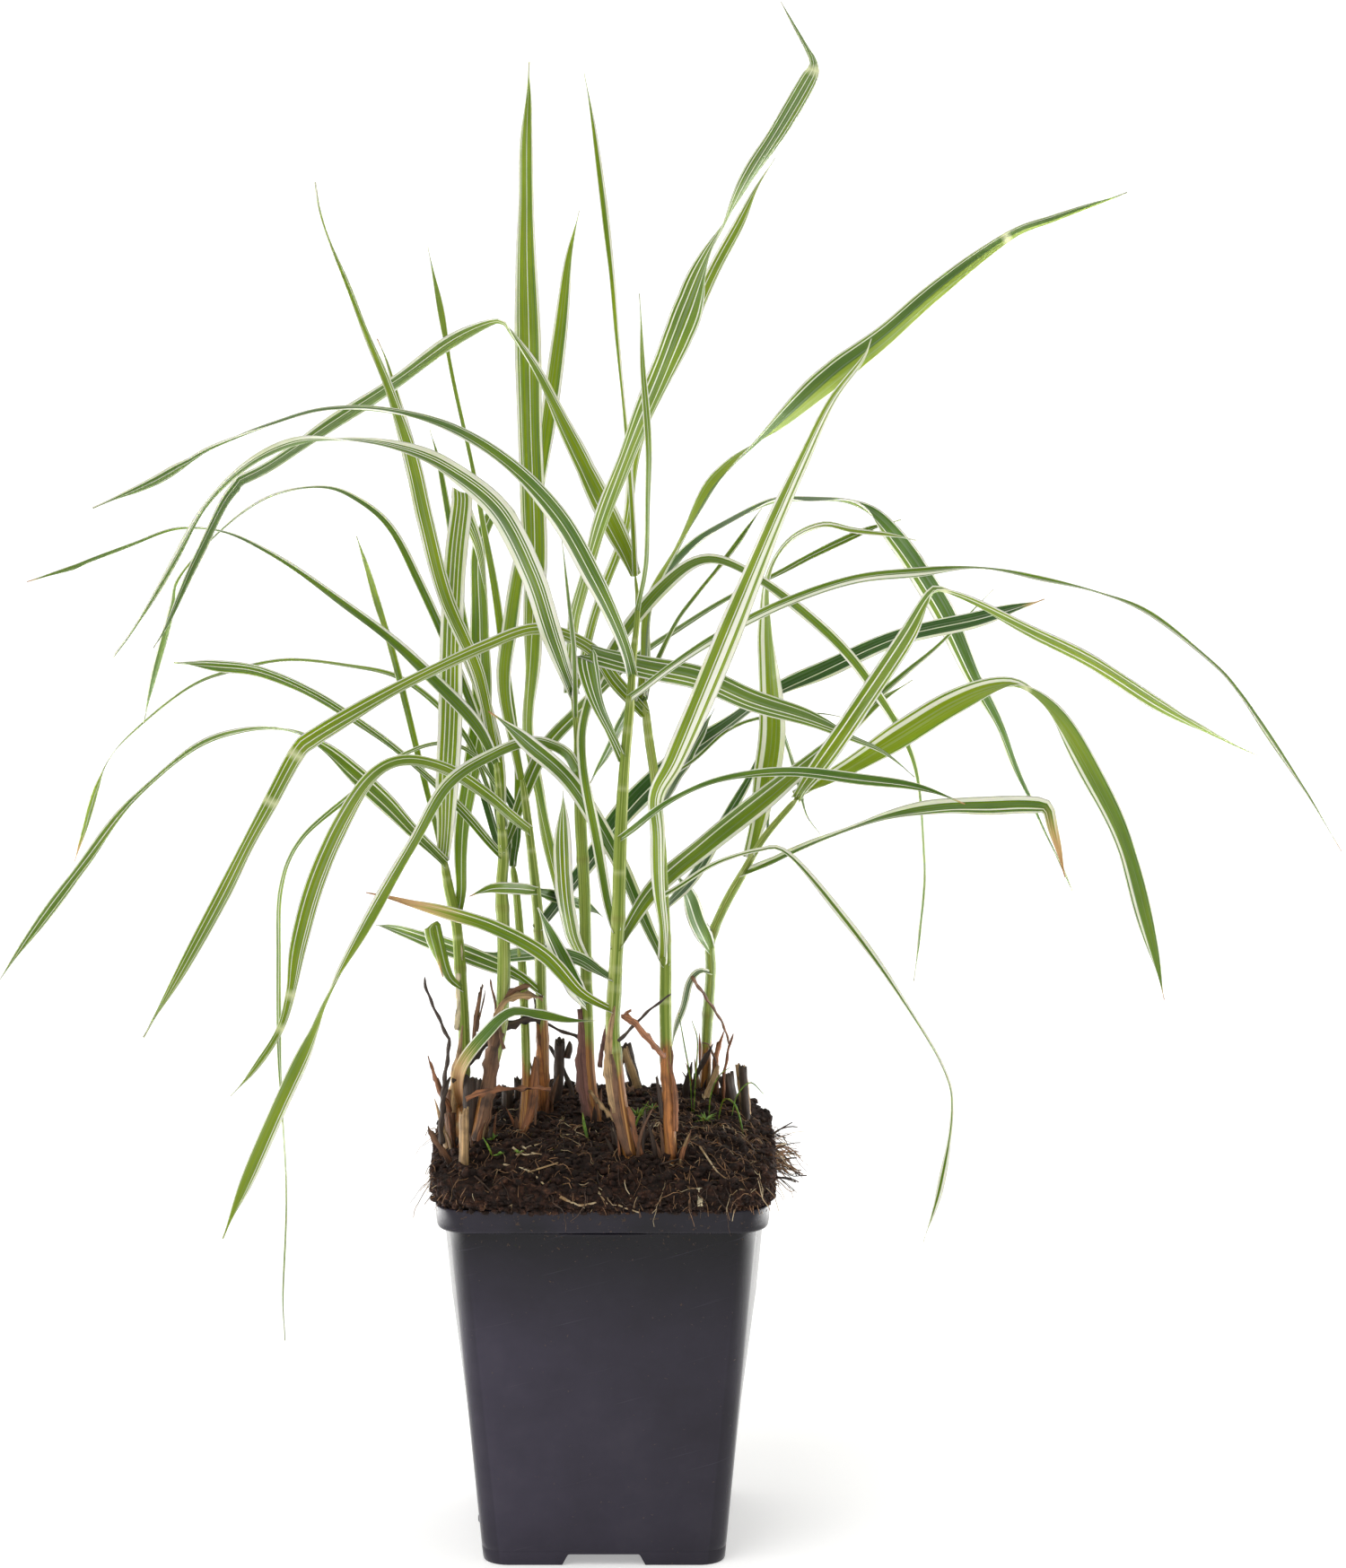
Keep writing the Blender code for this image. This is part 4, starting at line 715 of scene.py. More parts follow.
        (3, 157.5, 2), (13, 173, 4.5), (27.5, 186, 5.5), (42.5, 198, 6), (56.5, 209.5, 3.5),
        (66, 217, 2.5), (74, 224.5, 2), (82, 230, 0)]),
    "leaf_6_3": ("ccgggggggccc", 0.4, 1, (-23, 15.5, 36), [
        (2.5, 163, 2.5), (-1, 184, 3), (-5, 208, 2.5), (-4, 222.5, 2.5), (3.5, 238.5, 3),
        (15.5, 254, 4.5), (27, 261.5, 2), (40, 257, 2.5), (55.5, 245.5, 3), (69.5, 230.5, 3),
        (82, 208.5, 1.5), (85, 182, 0.5), (84, 163, 1), (82.5, 150, 0)]),
    "leaf_6_4": ("cgggggcgggc", 0.6, 0.95, (-24.7, -53, -62), [
        (4.5, 187.5, 1.5), (18.5, 198, 1), (32.5, 203.5, 1), (49.5, 205.5, 2.5), (68.5, 203.5, 3),
        (83, 201.5, 2), (96, 197, 0)]),
    "leaf_6_5": ("cggcggcgggggcggc", 0.5, 1, (-15.5, -6, 5), [
        (6, 209.5, 2), (-0.5, 222, 3), (-3.5, 233, 6), (-3.5, 237.5, 5), (-0.5, 236.5, 5),
        (11, 233.5, 6), (25.5, 230.5, 6.5), (39.5, 224.5, 6), (54, 220, 4.5), (66, 215, 1.5),
        (74.5, 211, 1), (82.5, 204, 0)]),
    "leaf_6_6": ("cgggpgcccgc", 0.45, 0.97, (-18.3, -33.5, -37.5), [
        (7.5, 225, 2), (17.5, 233, 2), (30.5, 241.5, 2.5), (47.5, 250, 2.5), (66.5, 256.5, 2.5),
        (85, 258.5, 2.5), (100.5, 259.5, 0.5), (116, 256.5, 1.5), (131.5, 253, 0.5), (145.5, 247, 1.5),
        (161.5, 234.5, 1), (169, 226, 1), (177, 214.5, 1.5), (187.5, 198.5, 0.5), (196, 184.5, 0)]),
    "leaf_6_7": ("cccggggcgggggcgc", 0.55, 1, (-16.8, -63.5, -89), [
        (8, 231.5, 3), (4, 243, 3), (-2.5, 256.5, 5), (-12, 273, 5), (-25, 286.5, 3),
        (-40.5, 296.5, 2.5), (-57.5, 301, 1), (-74.5, 301.5, 1), (-88.5, 297.5, 1), (-103.5, 291.5, 1),
        (-111.5, 287, -2.5), (-120.5, 282, -2.5), (-135.5, 275.5, 0)]),
    "leaf_6_8": ("cggpggc", 0.35, 1, (-14.5, -30, -40), [
        (9, 248, 1.5), (11.5, 261.5, 1), (12, 279.5, 1), (12, 293.5, 2), (10.5, 313, 1.5),
        (10, 326, 0.5), (9.5, 332.5, 0)]),
    "leaf_6_9": ("ccgggcggggggggcgcc", (0.12, 0.7), 1, (-8, 4, -63), [
        (8.5, 259, 3), (4, 268, 5.5), (-1.5, 279, 6), (-9, 294, 4), (-17.5, 310.5, 2.5), (-25.5, 323, 1),
        (-26, 324, 0.5), (-29.5, 324.5, -2), (-39.5, 319.5, -3.5), (-53.5, 309.5, -3),
        (-72.5, 297, -3.5), (-88.5, 286.5, -2), (-96, 282.5, -2.5), (-96.6, 281.6, -2.5),
        (-101, 275.5, -2), (-108.5, 260.5, -2), (-115, 246, -1), (-119.5, 238.5, 0)]),
    "leaf_6_10": ("cggggcc", 0.25, 1, (-9.5, 15.5, 23), [
        (8.5, 261, 1.5), (7.5, 277, 1.5), (6, 296, 1), (4, 315, 1), (2.5, 334, 1.5), (0.5, 353, 2),
        (-2, 372.5, 1.5), (-4, 385.5, 0.5), (-5, 391, 0)]),
    "leaf_7_1": ("ccggggpgggcc", 0.55, 0.93, (-21.8, -4.5, -26.5), [
        (16.5, 154, 2), (9.5, 168.5, 2.5), (2.5, 184.5, 4.5), (-8.5, 202.5, 4.5), (-20, 213, 4.5),
        (-26.5, 218.5, 1.5), (-30.5, 221.5, 0)]),
    "leaf_7_2": ("ccggggcgcccggccc", 0.15, 1, (-28.6, -36.5, -69.5), [
        (17.5, 155.5, 2), (15.5, 172, 3), (15, 189, 4), (14.5, 199, 3), (19.5, 208.5, 5.5),
        (27, 226.5, 6.5), (35, 246, 6.5), (43.5, 266.5, 4.5), (52.5, 287, 3.5), (60.5, 303.5, 2),
        (68.5, 314.5, 1.5), (71, 320.5, 0)]),
    "leaf_7_3": ("cgggpgggcc", 0.95, 1, (-18.8, 29, 35), [
        (16.5, 169.5, 2), (25, 179, 3), (33.5, 194.5, 3), (39.5, 205, 2), (43, 214, 0)]),
    "leaf_7_4": ("cccgggccc", 0.45, 1, (-23, -44, -88), [
        (17.5, 172.5, 1.5), (28.5, 180.5, 1), (41, 184.5, 0.5), (49, 183.5, 1), (63.5, 167, 2.5),
        (78, 147, 1), (90, 127, 0.5), (92.5, 115, 0.5), (89.5, 96, 2), (85, 80.5, 0)]),
    "leaf_7_5": ("cgcgggcgggcggc", 0.15, 1, (0.3, -28, -84), [
        (11.5, 221, 3), (3.5, 229, 4), (-4, 238.5, 3), (-17, 243, 3), (-31, 238.5, 3), (-47.5, 231, 3),
        (-64, 222, 3.5), (-77.5, 214, 5), (-81.5, 210, 4.5), (-88.5, 197, 4), (-94.5, 186, 3.5),
        (-101.5, 172, 4), (-111.5, 153.5, 3), (-122, 135, 0)]),
    "leaf_7_6": ("cggggcc", 0.3, 1, (0, 30, 49.5), [
        (10, 225, 1.5), (18.5, 243.5, 1), (24.5, 252, 0.5), (32, 261.5, 1.5), (38, 269.5, 1.5),
        (42, 275.5, 0)]),
    "leaf_7_7": ("cddddddcggcc", 0.45, 1, (7.4, 66, 96), [
        (11, 228.5, 2), (13.5, 251.5, 2), (25, 266, 2), (42.5, 276, 1), (54, 277.5, 1.5),
        (66, 276.5, 0.5), (75.5, 269.5, 5), (89, 250, 6.5), (98, 231, 4.5), (105.5, 216.5, 2.5),
        (110.5, 203.5, 1.5), (117.5, 189, 0.5), (124.5, 174, 0)]),
    "leaf_7_8": ("clllllldddddcgc", (0.3, 0.4), 1, (3, 42, 70), [
        (10.5, 230.5, 2), (12.5, 249, 2), (20, 264.5, 1), (28, 279.5, 3.5), (34, 286.5, 2),
        (39.5, 291.5, 1), (49, 300, -4.5), (62, 311.5, -7.5), (74.5, 321, -5.5), (90, 334.5, -5),
        (107.5, 347.5, -2.5), (120.5, 352.5, -2), (139, 359.5, 0)]),
    "leaf_8_1": ("ccgggcgc", 0.5, 0.755, (17.5, 6, -4), [
        (37.5, 178, 1.5), (49.5, 183.5, 1.5), (62.5, 189, 0.5), (75.5, 193.5, 1.5), (90, 196, 4),
        (103, 196.5, 5), (110, 196.8, 4.8), (115.8, 196.6, 4.4), (117.8, 195.9, 3.6), (118.4, 194, 3.2),
        (119.2, 190, 2.9), (120.8, 183.5, 2), (122.6, 177.5, 0)]),
    "leaf_8_2": ("cgccgggggggccc", 0.15, 1, (22, 22, 26), [
        (39.5, 183, 2.5), (42.5, 198.5, 6), (45, 215, 7.5), (44.5, 232, 5.5), (44, 243.5, 3),
        (44, 257, 1.5), (49, 266, 1), (58, 270.5, 0.5), (66, 269.5, 1.5), (75.5, 268.5, 2),
        (83, 267, 0)]),
    "leaf_8_3": ("cggcgggcgc", (0.3, 0.2), 1, (11, -43, -1), [
        (51, 199, 2), (58, 208, 5), (69.5, 224.5, 5), (80.5, 241, 4.5), (86.5, 251.5, 2),
        (89.5, 253.5, 1), (98.5, 250, -1.5), (113.5, 242.5, -3), (130.5, 234, -3.5), (147, 223.5, -3.5),
        (160.5, 216, -1), (173.5, 210, 0)]),
    "leaf_8_4": ("cgcclllllllllgc", (0.1, 0.75), 0.97, (17, -10.5, -46), [
        (51.5, 199, 2), (62.5, 205, 3), (78, 214.5, 7.5), (93, 223.5, 6.5), (104.5, 228, 5),
        (112.5, 227, 1.5), (121.5, 218, -5.5), (130, 203.5, -5.5), (138, 187, -4.5),
        (143.5, 167.5, -4.5), (149, 145, 0)]),
    # Small blades that have no solid of their own; the last digit is the stem they grow from.
    "blade_thin_2": ("cggggc", 0.4, 1, (14, 40, 66), [
        (-27.5, 189, 1.5), (-32, 220, 2), (-37.5, 248.5, 2), (-40.5, 270, 2), (-43.5, 286.5, 1.5),
        (-46, 296.5, 0)]),
    "blade_short_8": ("cggpgggc", 0.6, 1, (16, 8, 0), [
        (28.5, 158.5, 1.5), (25, 165.5, 4.5), (22.5, 172.5, 4.5), (19, 178.5, 0)]),
    "blade_back_8": ("cgggpgcc", 0.5, 1, (18, 34, 46), [
        (50.5, 198, 1), (55.5, 205.5, 2), (61.5, 213, 2), (71, 223.5, 2), (80.5, 232, 1.5), (90, 240, 1),
        (103.5, 254, 0)]),
    "blade_inner_7": ("cggpggc", 0.8, 1, (2, 22, 30), [
        (15.5, 196, 1.5), (19, 203.5, 2.5), (22, 208, 2.5), (24.5, 213, 3.5), (26.5, 216.5, 3.5),
        (29.5, 222.5, 0)]),
    "blade_inner_5": ("cgggc", 0.4, 1, (4, -10, -20), [
        (-7.5, 220, 1), (-7.5, 227, 1.5), (-8, 239, 1), (-9.5, 253.5, 1), (-11, 267.5, 0)]),
    "blade_curl_8": ("ccggpgcc", 0.8, 1, (24, 10, 0), [
        (28, 152, 0.5), (25.5, 152.5, 1), (23, 149.5, 2), (21.5, 143.5, 2), (19.5, 138, 2),
        (18, 132, 0)]),
    "blade_bent_1": ("cgggpgg", 0.25, 0.8, (-10, -20, -30), [
        (-39, 147.5, 1), (-41.5, 151, 2), (-44, 160.5, 2.5), (-45, 165, 3.5), (-46.5, 163.5, 3),
        (-45, 158, 3), (-42.5, 151, 0)]),
    "blade_left_4": ("cgggcgggc", 0.4, 0.9, (-6, -24, -34), [
        (-18, 174, 2), (-23, 174.5, 3), (-29, 174.5, 3), (-32.5, 173.5, 2), (-35.5, 172.5, 0)]),
    "blade_right_4": ("cggggpggc", 0.7, 1, (-6, 10, 20), [
        (-18, 174, 1.5), (-15, 173, 2), (-10, 171.5, 3), (-4, 169.5, 3), (0, 167, 0)]),
    "blade_low_6": ("cggpggpggggc", 0.75, 1, (-30, -6, 10), [
        (2, 149.5, 1), (-3, 153.5, 2), (-7.5, 156, 3), (-15, 157.5, 4), (-22, 157, 4), (-28, 156.5, 3),
        (-34, 158.5, 0)]),
    "blade_fine_7": ("cggpggc", 0.6, 1, (0, 24, 30), [
        (11, 226, 1.5), (8, 224, 2), (4.5, 218, 2.5), (1.5, 211.5, 2.5), (-1.5, 206, 2),
        (-3.5, 202.5, 0)]),
    "blade_drop_8": ("cggcgc", 0.7, 1, (30, 50, 60), [
        (42.5, 190, 0.5), (45, 208, 1), (45, 222.5, 1), (48.5, 213.5, 1), (52, 202, 1.5), (54, 194, 0.5),
        (57.5, 189, 0)]),
    "blade_rising_7": ("cggc", 0.5, 1, (4, 30, 50), [
        (12, 198.5, 1), (16.5, 203.5, 1), (24.5, 209, 1), (33, 216.5, 1), (42.5, 220, 1),
        (56.5, 221, 0.5), (66, 219.5, 0)]),
    "blade_dark_2": ("ggggpg", 0.9, 1, (-8, 6, 16), [
        (-26.5, 184, 1.5), (-28, 186.5, 1.5), (-32.5, 201, 2), (-36.5, 208, 0)]),
    "blade_dark_3": ("gggpgg", 0.8, 1, (0, 10, 18), [
        (-22.5, 182, 1.5), (-23, 193.5, 2), (-26.5, 201, 2), (-30.5, 210.5, 0)]),
}
# Where blades are bent sharply enough to be bruised, as (across, up) points in the view.
CREASES = {
    "leaf_7_5": ((-81.3, 209.9), (-88.2, 197.1)),
    "leaf_4_3": ((-82.7, 146.6), (-85.8, 136.6)),
    "leaf_1_3": ((-121.3, 219.2),),
    "leaf_7_8": ((107.1, 347.5),),
    "leaf_5_7": ((56.6, 392.5),),
    "leaf_8_4": ((113.7, 227.5),),
    "leaf_8_3": ((90.9, 253.3),),
}
# Letters of a pattern: c cream, p pale, g green, d darker green, l lighter green.
CREAM = {"c": 1.0, "p": 0.5}
SHADE = {"d": 0.8, "l": 0.2}
MOST_TURN = math.radians(12)


def seen(places):
    """Where points are seen in the front view, the opposite of from_view."""
    away = places - (np.array([VIEW_ACROSS, 0, VIEW_HEIGHT]) - SIGHT * VIEW_DISTANCE)
    scale = VIEW_DISTANCE / (away @ SIGHT)
    rise = away @ np.array([0, math.sin(VIEW_ANGLE), math.cos(VIEW_ANGLE)]) * scale
    return np.stack([VIEW_ACROSS + away[:, 0] * scale, VIEW_HEIGHT * math.cos(VIEW_ANGLE) + rise], axis=1)


def strip(places, widths, turns, hand, a, curl, fold, body, waves=None):
    """Rings of a thin closed leaf: upper points from left edge (a = 1) to right (-1), then lower ones."""
    along = unit(np.gradient(places, axis=0))
    turns = turns + np.zeros(len(places))
    # Where the blade doubles back it is folded flat, so that its other face shows from there on.
    back = np.full(len(places), 1.0)
    back[2:-2] = (along[:-4] * along[4:]).sum(1)
    for i in range(2, len(places) - 2):
        if back[i] < -0.2 and back[i] == back[max(i - 4, 0):i + 5].min():
            turns[i + 1:] += math.pi
            along[i] = along[i - 1]
    flat = np.cross(along, SIGHT)
    for i in range(1, len(flat)):
        if np.linalg.norm(flat[i]) < 0.2:
            flat[i] = flat[i - 1]
    flat = unit(flat)
    across = flat * np.cos(turns)[:, None] + SIGHT * hand * np.sin(turns)[:, None]
    across = unit(across - along * (across * along).sum(1, keepdims=True))
    face = np.cross(along, across)
    a = a[None, :]
    half = widths[:, None] / 2
    bend = np.maximum(np.abs(curl), 0.02)[:, None]
    reach = np.where(bend < math.pi / 2, np.sin(bend) / bend, 1 / bend)
    x = half / reach * np.sin(bend * a) / bend
    z = half / reach * (1 - np.cos(bend * a)) / bend * np.sign(curl)[:, None] + fold * half * np.abs(a)
    if waves is not None:
        z = z + waves[:, None] * a ** 2
        z = z + 0.3 * waves[::-1][:, None] * a
    upper = places[:, None, :] + across[:, None, :] * x[..., None] + face[:, None, :] * z[..., None]
    slope = bend * a * np.sign(curl)[:, None]
    inner = -face[:, None, :] * np.cos(slope)[..., None] + across[:, None, :] * np.sin(slope)[..., None]
    thick = body * (0.3 + 0.7 * (1 - a ** 2))
    lower = upper + inner * thick[..., None]
    # Round the outline: upper points from left to right, then the inner lower points back.
    rings = np.concatenate([upper, lower[:, -2:0:-1]], axis=1)
    return rings


def strip_faces(count, columns):
    """Faces of the strip, and for each the column it belongs to and whether it is underneath."""
    size = 2 * columns
    faces, column, under = [], [], []
    for k in range(count - 1):
        for i in range(size):
            j = (i + 1) % size
            a, b = k * size, (k + 1) * size
            faces.append((a + i, b + i, b + j, a + j))
            column.append(i if i < columns else size - 1 - i)
            under.append(float(i >= columns))
    for ring in (list(range(size)), list(range((count - 1) * size, count * size))[::-1]):
        faces.append(tuple(ring))
        column.append(columns // 2)
        under.append(0.0)
    return faces, column, under


leaf, tree = new_material("striped_grass_leaf")
stripe = add_node(tree, "Attribute", attribute_name="stripe")
side = add_node(tree, "SeparateColor", {0: stripe.outputs["Color"]})
state = add_node(tree, "Attribute", attribute_name="state")
part = add_node(tree, "SeparateColor", {0: state.outputs["Color"]})
run = add_node(tree, "Attribute", attribute_name="run")
# Veins: lines 0.35 mm apart along the blade, which fray the edges of the stripes.
vein_place = add_node(tree, "VectorMath", {0: run.outputs["Color"], 1: (0.010, 2.8, 1.0)}, operation="MULTIPLY")
veins = add_node(tree, "TexNoise", {0: vein_place.outputs[0], "Scale": 1.0, "Detail": 2.0})
patch_place = add_node(tree, "VectorMath", {0: run.outputs["Color"], 1: (0.05, 0.25, 1.0)}, operation="MULTIPLY")
patches = add_node(tree, "TexNoise", {0: patch_place.outputs[0], "Scale": 1.0, "Detail": 3.0})
fray = add_node(tree, "MapRange", {0: veins.outputs[0], 1: 0.3, 2: 0.7, 3: -0.16, 4: 0.16})
cream_sum = add_node(tree, "Math", {0: side.outputs[0], 1: fray.outputs[0]}, operation="ADD", use_clamp=True)
lines = add_node(tree, "Math", {0: veins.outputs[0], 1: patches.outputs[0]}, operation="ADD")
line_shift = add_node(tree, "MapRange", {0: lines.outputs[0], 1: 0.6, 2: 1.4, 3: -0.82, 4: -0.18})
tone_shift = add_node(tree, "Math", {0: line_shift.outputs[0], 1: side.outputs[2]}, operation="ADD")
tone = add_node(tree, "Math", {0: part.outputs[1], 1: tone_shift.outputs[0]}, operation="ADD", use_clamp=True)
green = add_node(tree, "ValToRGB", {0: tone.outputs[0]}, stops=[
    (0.0, "#7F920A"), (0.3, "#667F12"), (0.6, "#49681A"), (1.0, "#315220")])
cream = add_node(tree, "ValToRGB", {0: patches.outputs[0]}, stops=[
    (0.3, "#E8E7DE"), (0.55, "#E0E0D2"), (0.78, "#CDD1A8")])
striped = add_node(tree, "Mix", {
    0: cream_sum.outputs[0], 6: green.outputs[0], 7: cream.outputs[0]}, data_type="RGBA")
# The underside has no wax: paler, greyer, its stripes half hidden.
duller = add_node(tree, "Math", {0: side.outputs[1], 1: 0.1}, operation="MULTIPLY")
sided = add_node(tree, "Mix", {
    0: duller.outputs[0], 6: striped.outputs[2], 7: linear("#93A173")}, data_type="RGBA")
# Dry ends: straw first, then rust brown at the very tip.
dry_shift = add_node(tree, "MapRange", {0: veins.outputs[0], 1: 0.3, 2: 0.7, 3: -0.22, 4: 0.22})
dry_place = add_node(tree, "Math", {0: part.outputs[0], 1: dry_shift.outputs[0]}, operation="ADD")
dry_share = add_node(tree, "MapRange", {0: dry_place.outputs[0], 1: 0.25, 2: 0.6})
dry_colour = add_node(tree, "ValToRGB", {0: dry_place.outputs[0]}, stops=[
    (0.35, "#C2B266"), (0.6, "#C6A274"), (1.0, "#9C6B48")])
coloured = add_node(tree, "Mix", {
    0: dry_share.outputs[0], 6: sided.outputs[2], 7: dry_colour.outputs[0]}, data_type="RGBA")
bump = add_node(tree, "Bump", {"Strength": 0.45, "Distance": 0.00025, "Height": lines.outputs[0]})
rough = add_node(tree, "MapRange", {0: side.outputs[1], 3: 0.4, 4: 0.6})
# A sharp bend bruises the blade in a thin straw-coloured line across it.
creased = add_node(tree, "Mix", {
    0: part.outputs[2], 6: coloured.outputs[2], 7: linear("#D9DAB0")}, data_type="RGBA")
finish_material(
    tree, Base_Color=creased.outputs[2], Roughness=rough.outputs[0], IOR=1.42, Normal=bump.outputs[0],
    Specular_IOR_Level=0.28, Subsurface_Weight=0.12, Subsurface_Scale=0.0005, Subsurface_Radius=(0.7, 1.0, 0.2))

STEP = 1.8
for number, (name, (pattern, tone, dry, depths, route)) in enumerate(BLADES.items()):
    source = random.Random(100 + number)
    culm = int(name.split("_")[1]) if name.startswith("leaf") else int(name[-1])
    places, shown, run = drawn_curve(depths, route, STEP)
    t = run / run[-1]
    widest = np.abs(shown).max()
    widths = widest * np.minimum(0.5 + 2.5 * t, 1) * np.minimum(1, ((1 - t) / 0.5) ** 0.75)
    widths = np.maximum(np.maximum(widths, np.abs(shown)), 0.2)
    turns = np.arccos(np.clip(shown / widths, -1, 1))
    while np.abs(np.diff(turns)).max() > MOST_TURN * STEP / 1.8:
        turns[1:-1] = (turns[:-2] + 2 * turns[1:-1] + turns[2:]) / 4
    # The base leans in to the stem that it grows from.
    line, stem_radii = culm_lines[culm]
    nearest = np.linalg.norm(seen(line) - seen(places[:1]), axis=1).argmin()
    pull = line[nearest] - places[0]
    pull *= min(1.0, 12.0 / max(np.linalg.norm(pull), 1e-6))
    ease = np.clip(1 - run / (6 + 1.5 * np.linalg.norm(pull)), 0, 1) ** 2
    places = places + pull * ease[:, None] - SIGHT * (ease * stem_radii[nearest] * 0.8)[:, None]
    length = run[-1]
    phase = source.uniform(0, math.tau)
    waves = 0.05 * widest * np.sin(run * math.tau / source.uniform(26, 44) + phase) * np.clip(run / 15, 0, 1)
    curl = 0.12 + 1.1 * np.clip(1 - run / 9, 0, 1) + 0.35 * np.clip((t - 0.85) / 0.15, 0, 1)
    hand = 1 if route[-1][0] > route[0][0] else -1
    columns = len(pattern)
    first_shown = next((w for _, _, w in route if w), 1)
    letters = pattern if first_shown > 0 else pattern[::-1]
    # Single pale lines inside the blade are finer than the green between them, and so are its margins.
    shares = []
    for k, letter in enumerate(letters):
        around = letters[max(k - 1, 0)] + letters[min(k + 1, columns - 1)]
        pale = letter in CREAM
        alone = pale and 0 < k < columns - 1 and not set(around) & set(CREAM)
        margin = pale and k in (0, columns - 1)
        shares.append(0.55 if alone else 0.85 if margin else 1.0)
    a = 1 - 2 * np.r_[0, np.cumsum(shares)] / sum(shares)
    rings = strip(places, widths, turns, hand, a, curl, 0.2, 0.16, waves)
    faces, column, under = strip_faces(len(rings), columns)
    size = 2 * columns
    piece = add_piece(name.replace("leaf", "blade"), rings.reshape(-1, 3), faces, leaf)
    tints = [(CREAM.get(letters[c], 0.0), u, SHADE.get(letters[c], 0.5), 1) for c, u in zip(column, under)]
    add_values(piece, "stripe", tints, "FACE")
    state_rows = np.zeros((len(run), size, 4))
    dryness = np.clip((t - dry) / max(1 - dry, 0.02), 0, 1) if dry < 1 else 0 * t
    if dry < 0:
        # Dead at the base only, up to that share of its length.
        dryness = 0.9 * np.clip(1.2 + t / dry, 0, 1)
    dryness = np.maximum(dryness, 0.3 * np.clip((t - 0.97) / 0.03, 0, 1))
    state_rows[..., 0] = dryness[:, None]
    state_rows[..., 1] = np.interp(t, (0.1, 0.8), tone if isinstance(tone, tuple) else (tone, tone))[:, None]
    for crease in CREASES.get(name, ()):
        off = np.linalg.norm(seen(places) - np.array(crease), axis=1)
        if off.min() < 4:
            crease_share = 0.8 * np.exp(-((run - run[off.argmin()]) / 0.6) ** 2)
            state_rows[..., 2] = np.maximum(state_rows[..., 2], crease_share[:, None])
    add_values(piece, "state", state_rows)
    run_rows = np.zeros((len(run), size, 4))
    run_rows[..., 0] = run[:, None]
    run_rows[..., 1] = np.r_[a, a[-2:0:-1]][None, :] * widest / 2
    run_rows[..., 2] = 5.3 * number
    add_values(piece, "run", run_rows)
    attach(piece, "root")
    if name.startswith("leaf"):
        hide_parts(name)


# Dead matter. Last year's sheaths still wrap the feet of the stems as torn, curled straw; between them
# stand cut-off hollow stalks and thin broken twigs, weathered from cream through rust to near black.
STRAW = {
    "cream": "#DCCDA8", "tan": "#B8966A", "orange": "#B07038", "rust": "#9A6440",
    "brown": "#7C5940", "purple": "#764E44", "dark": "#43342A"}
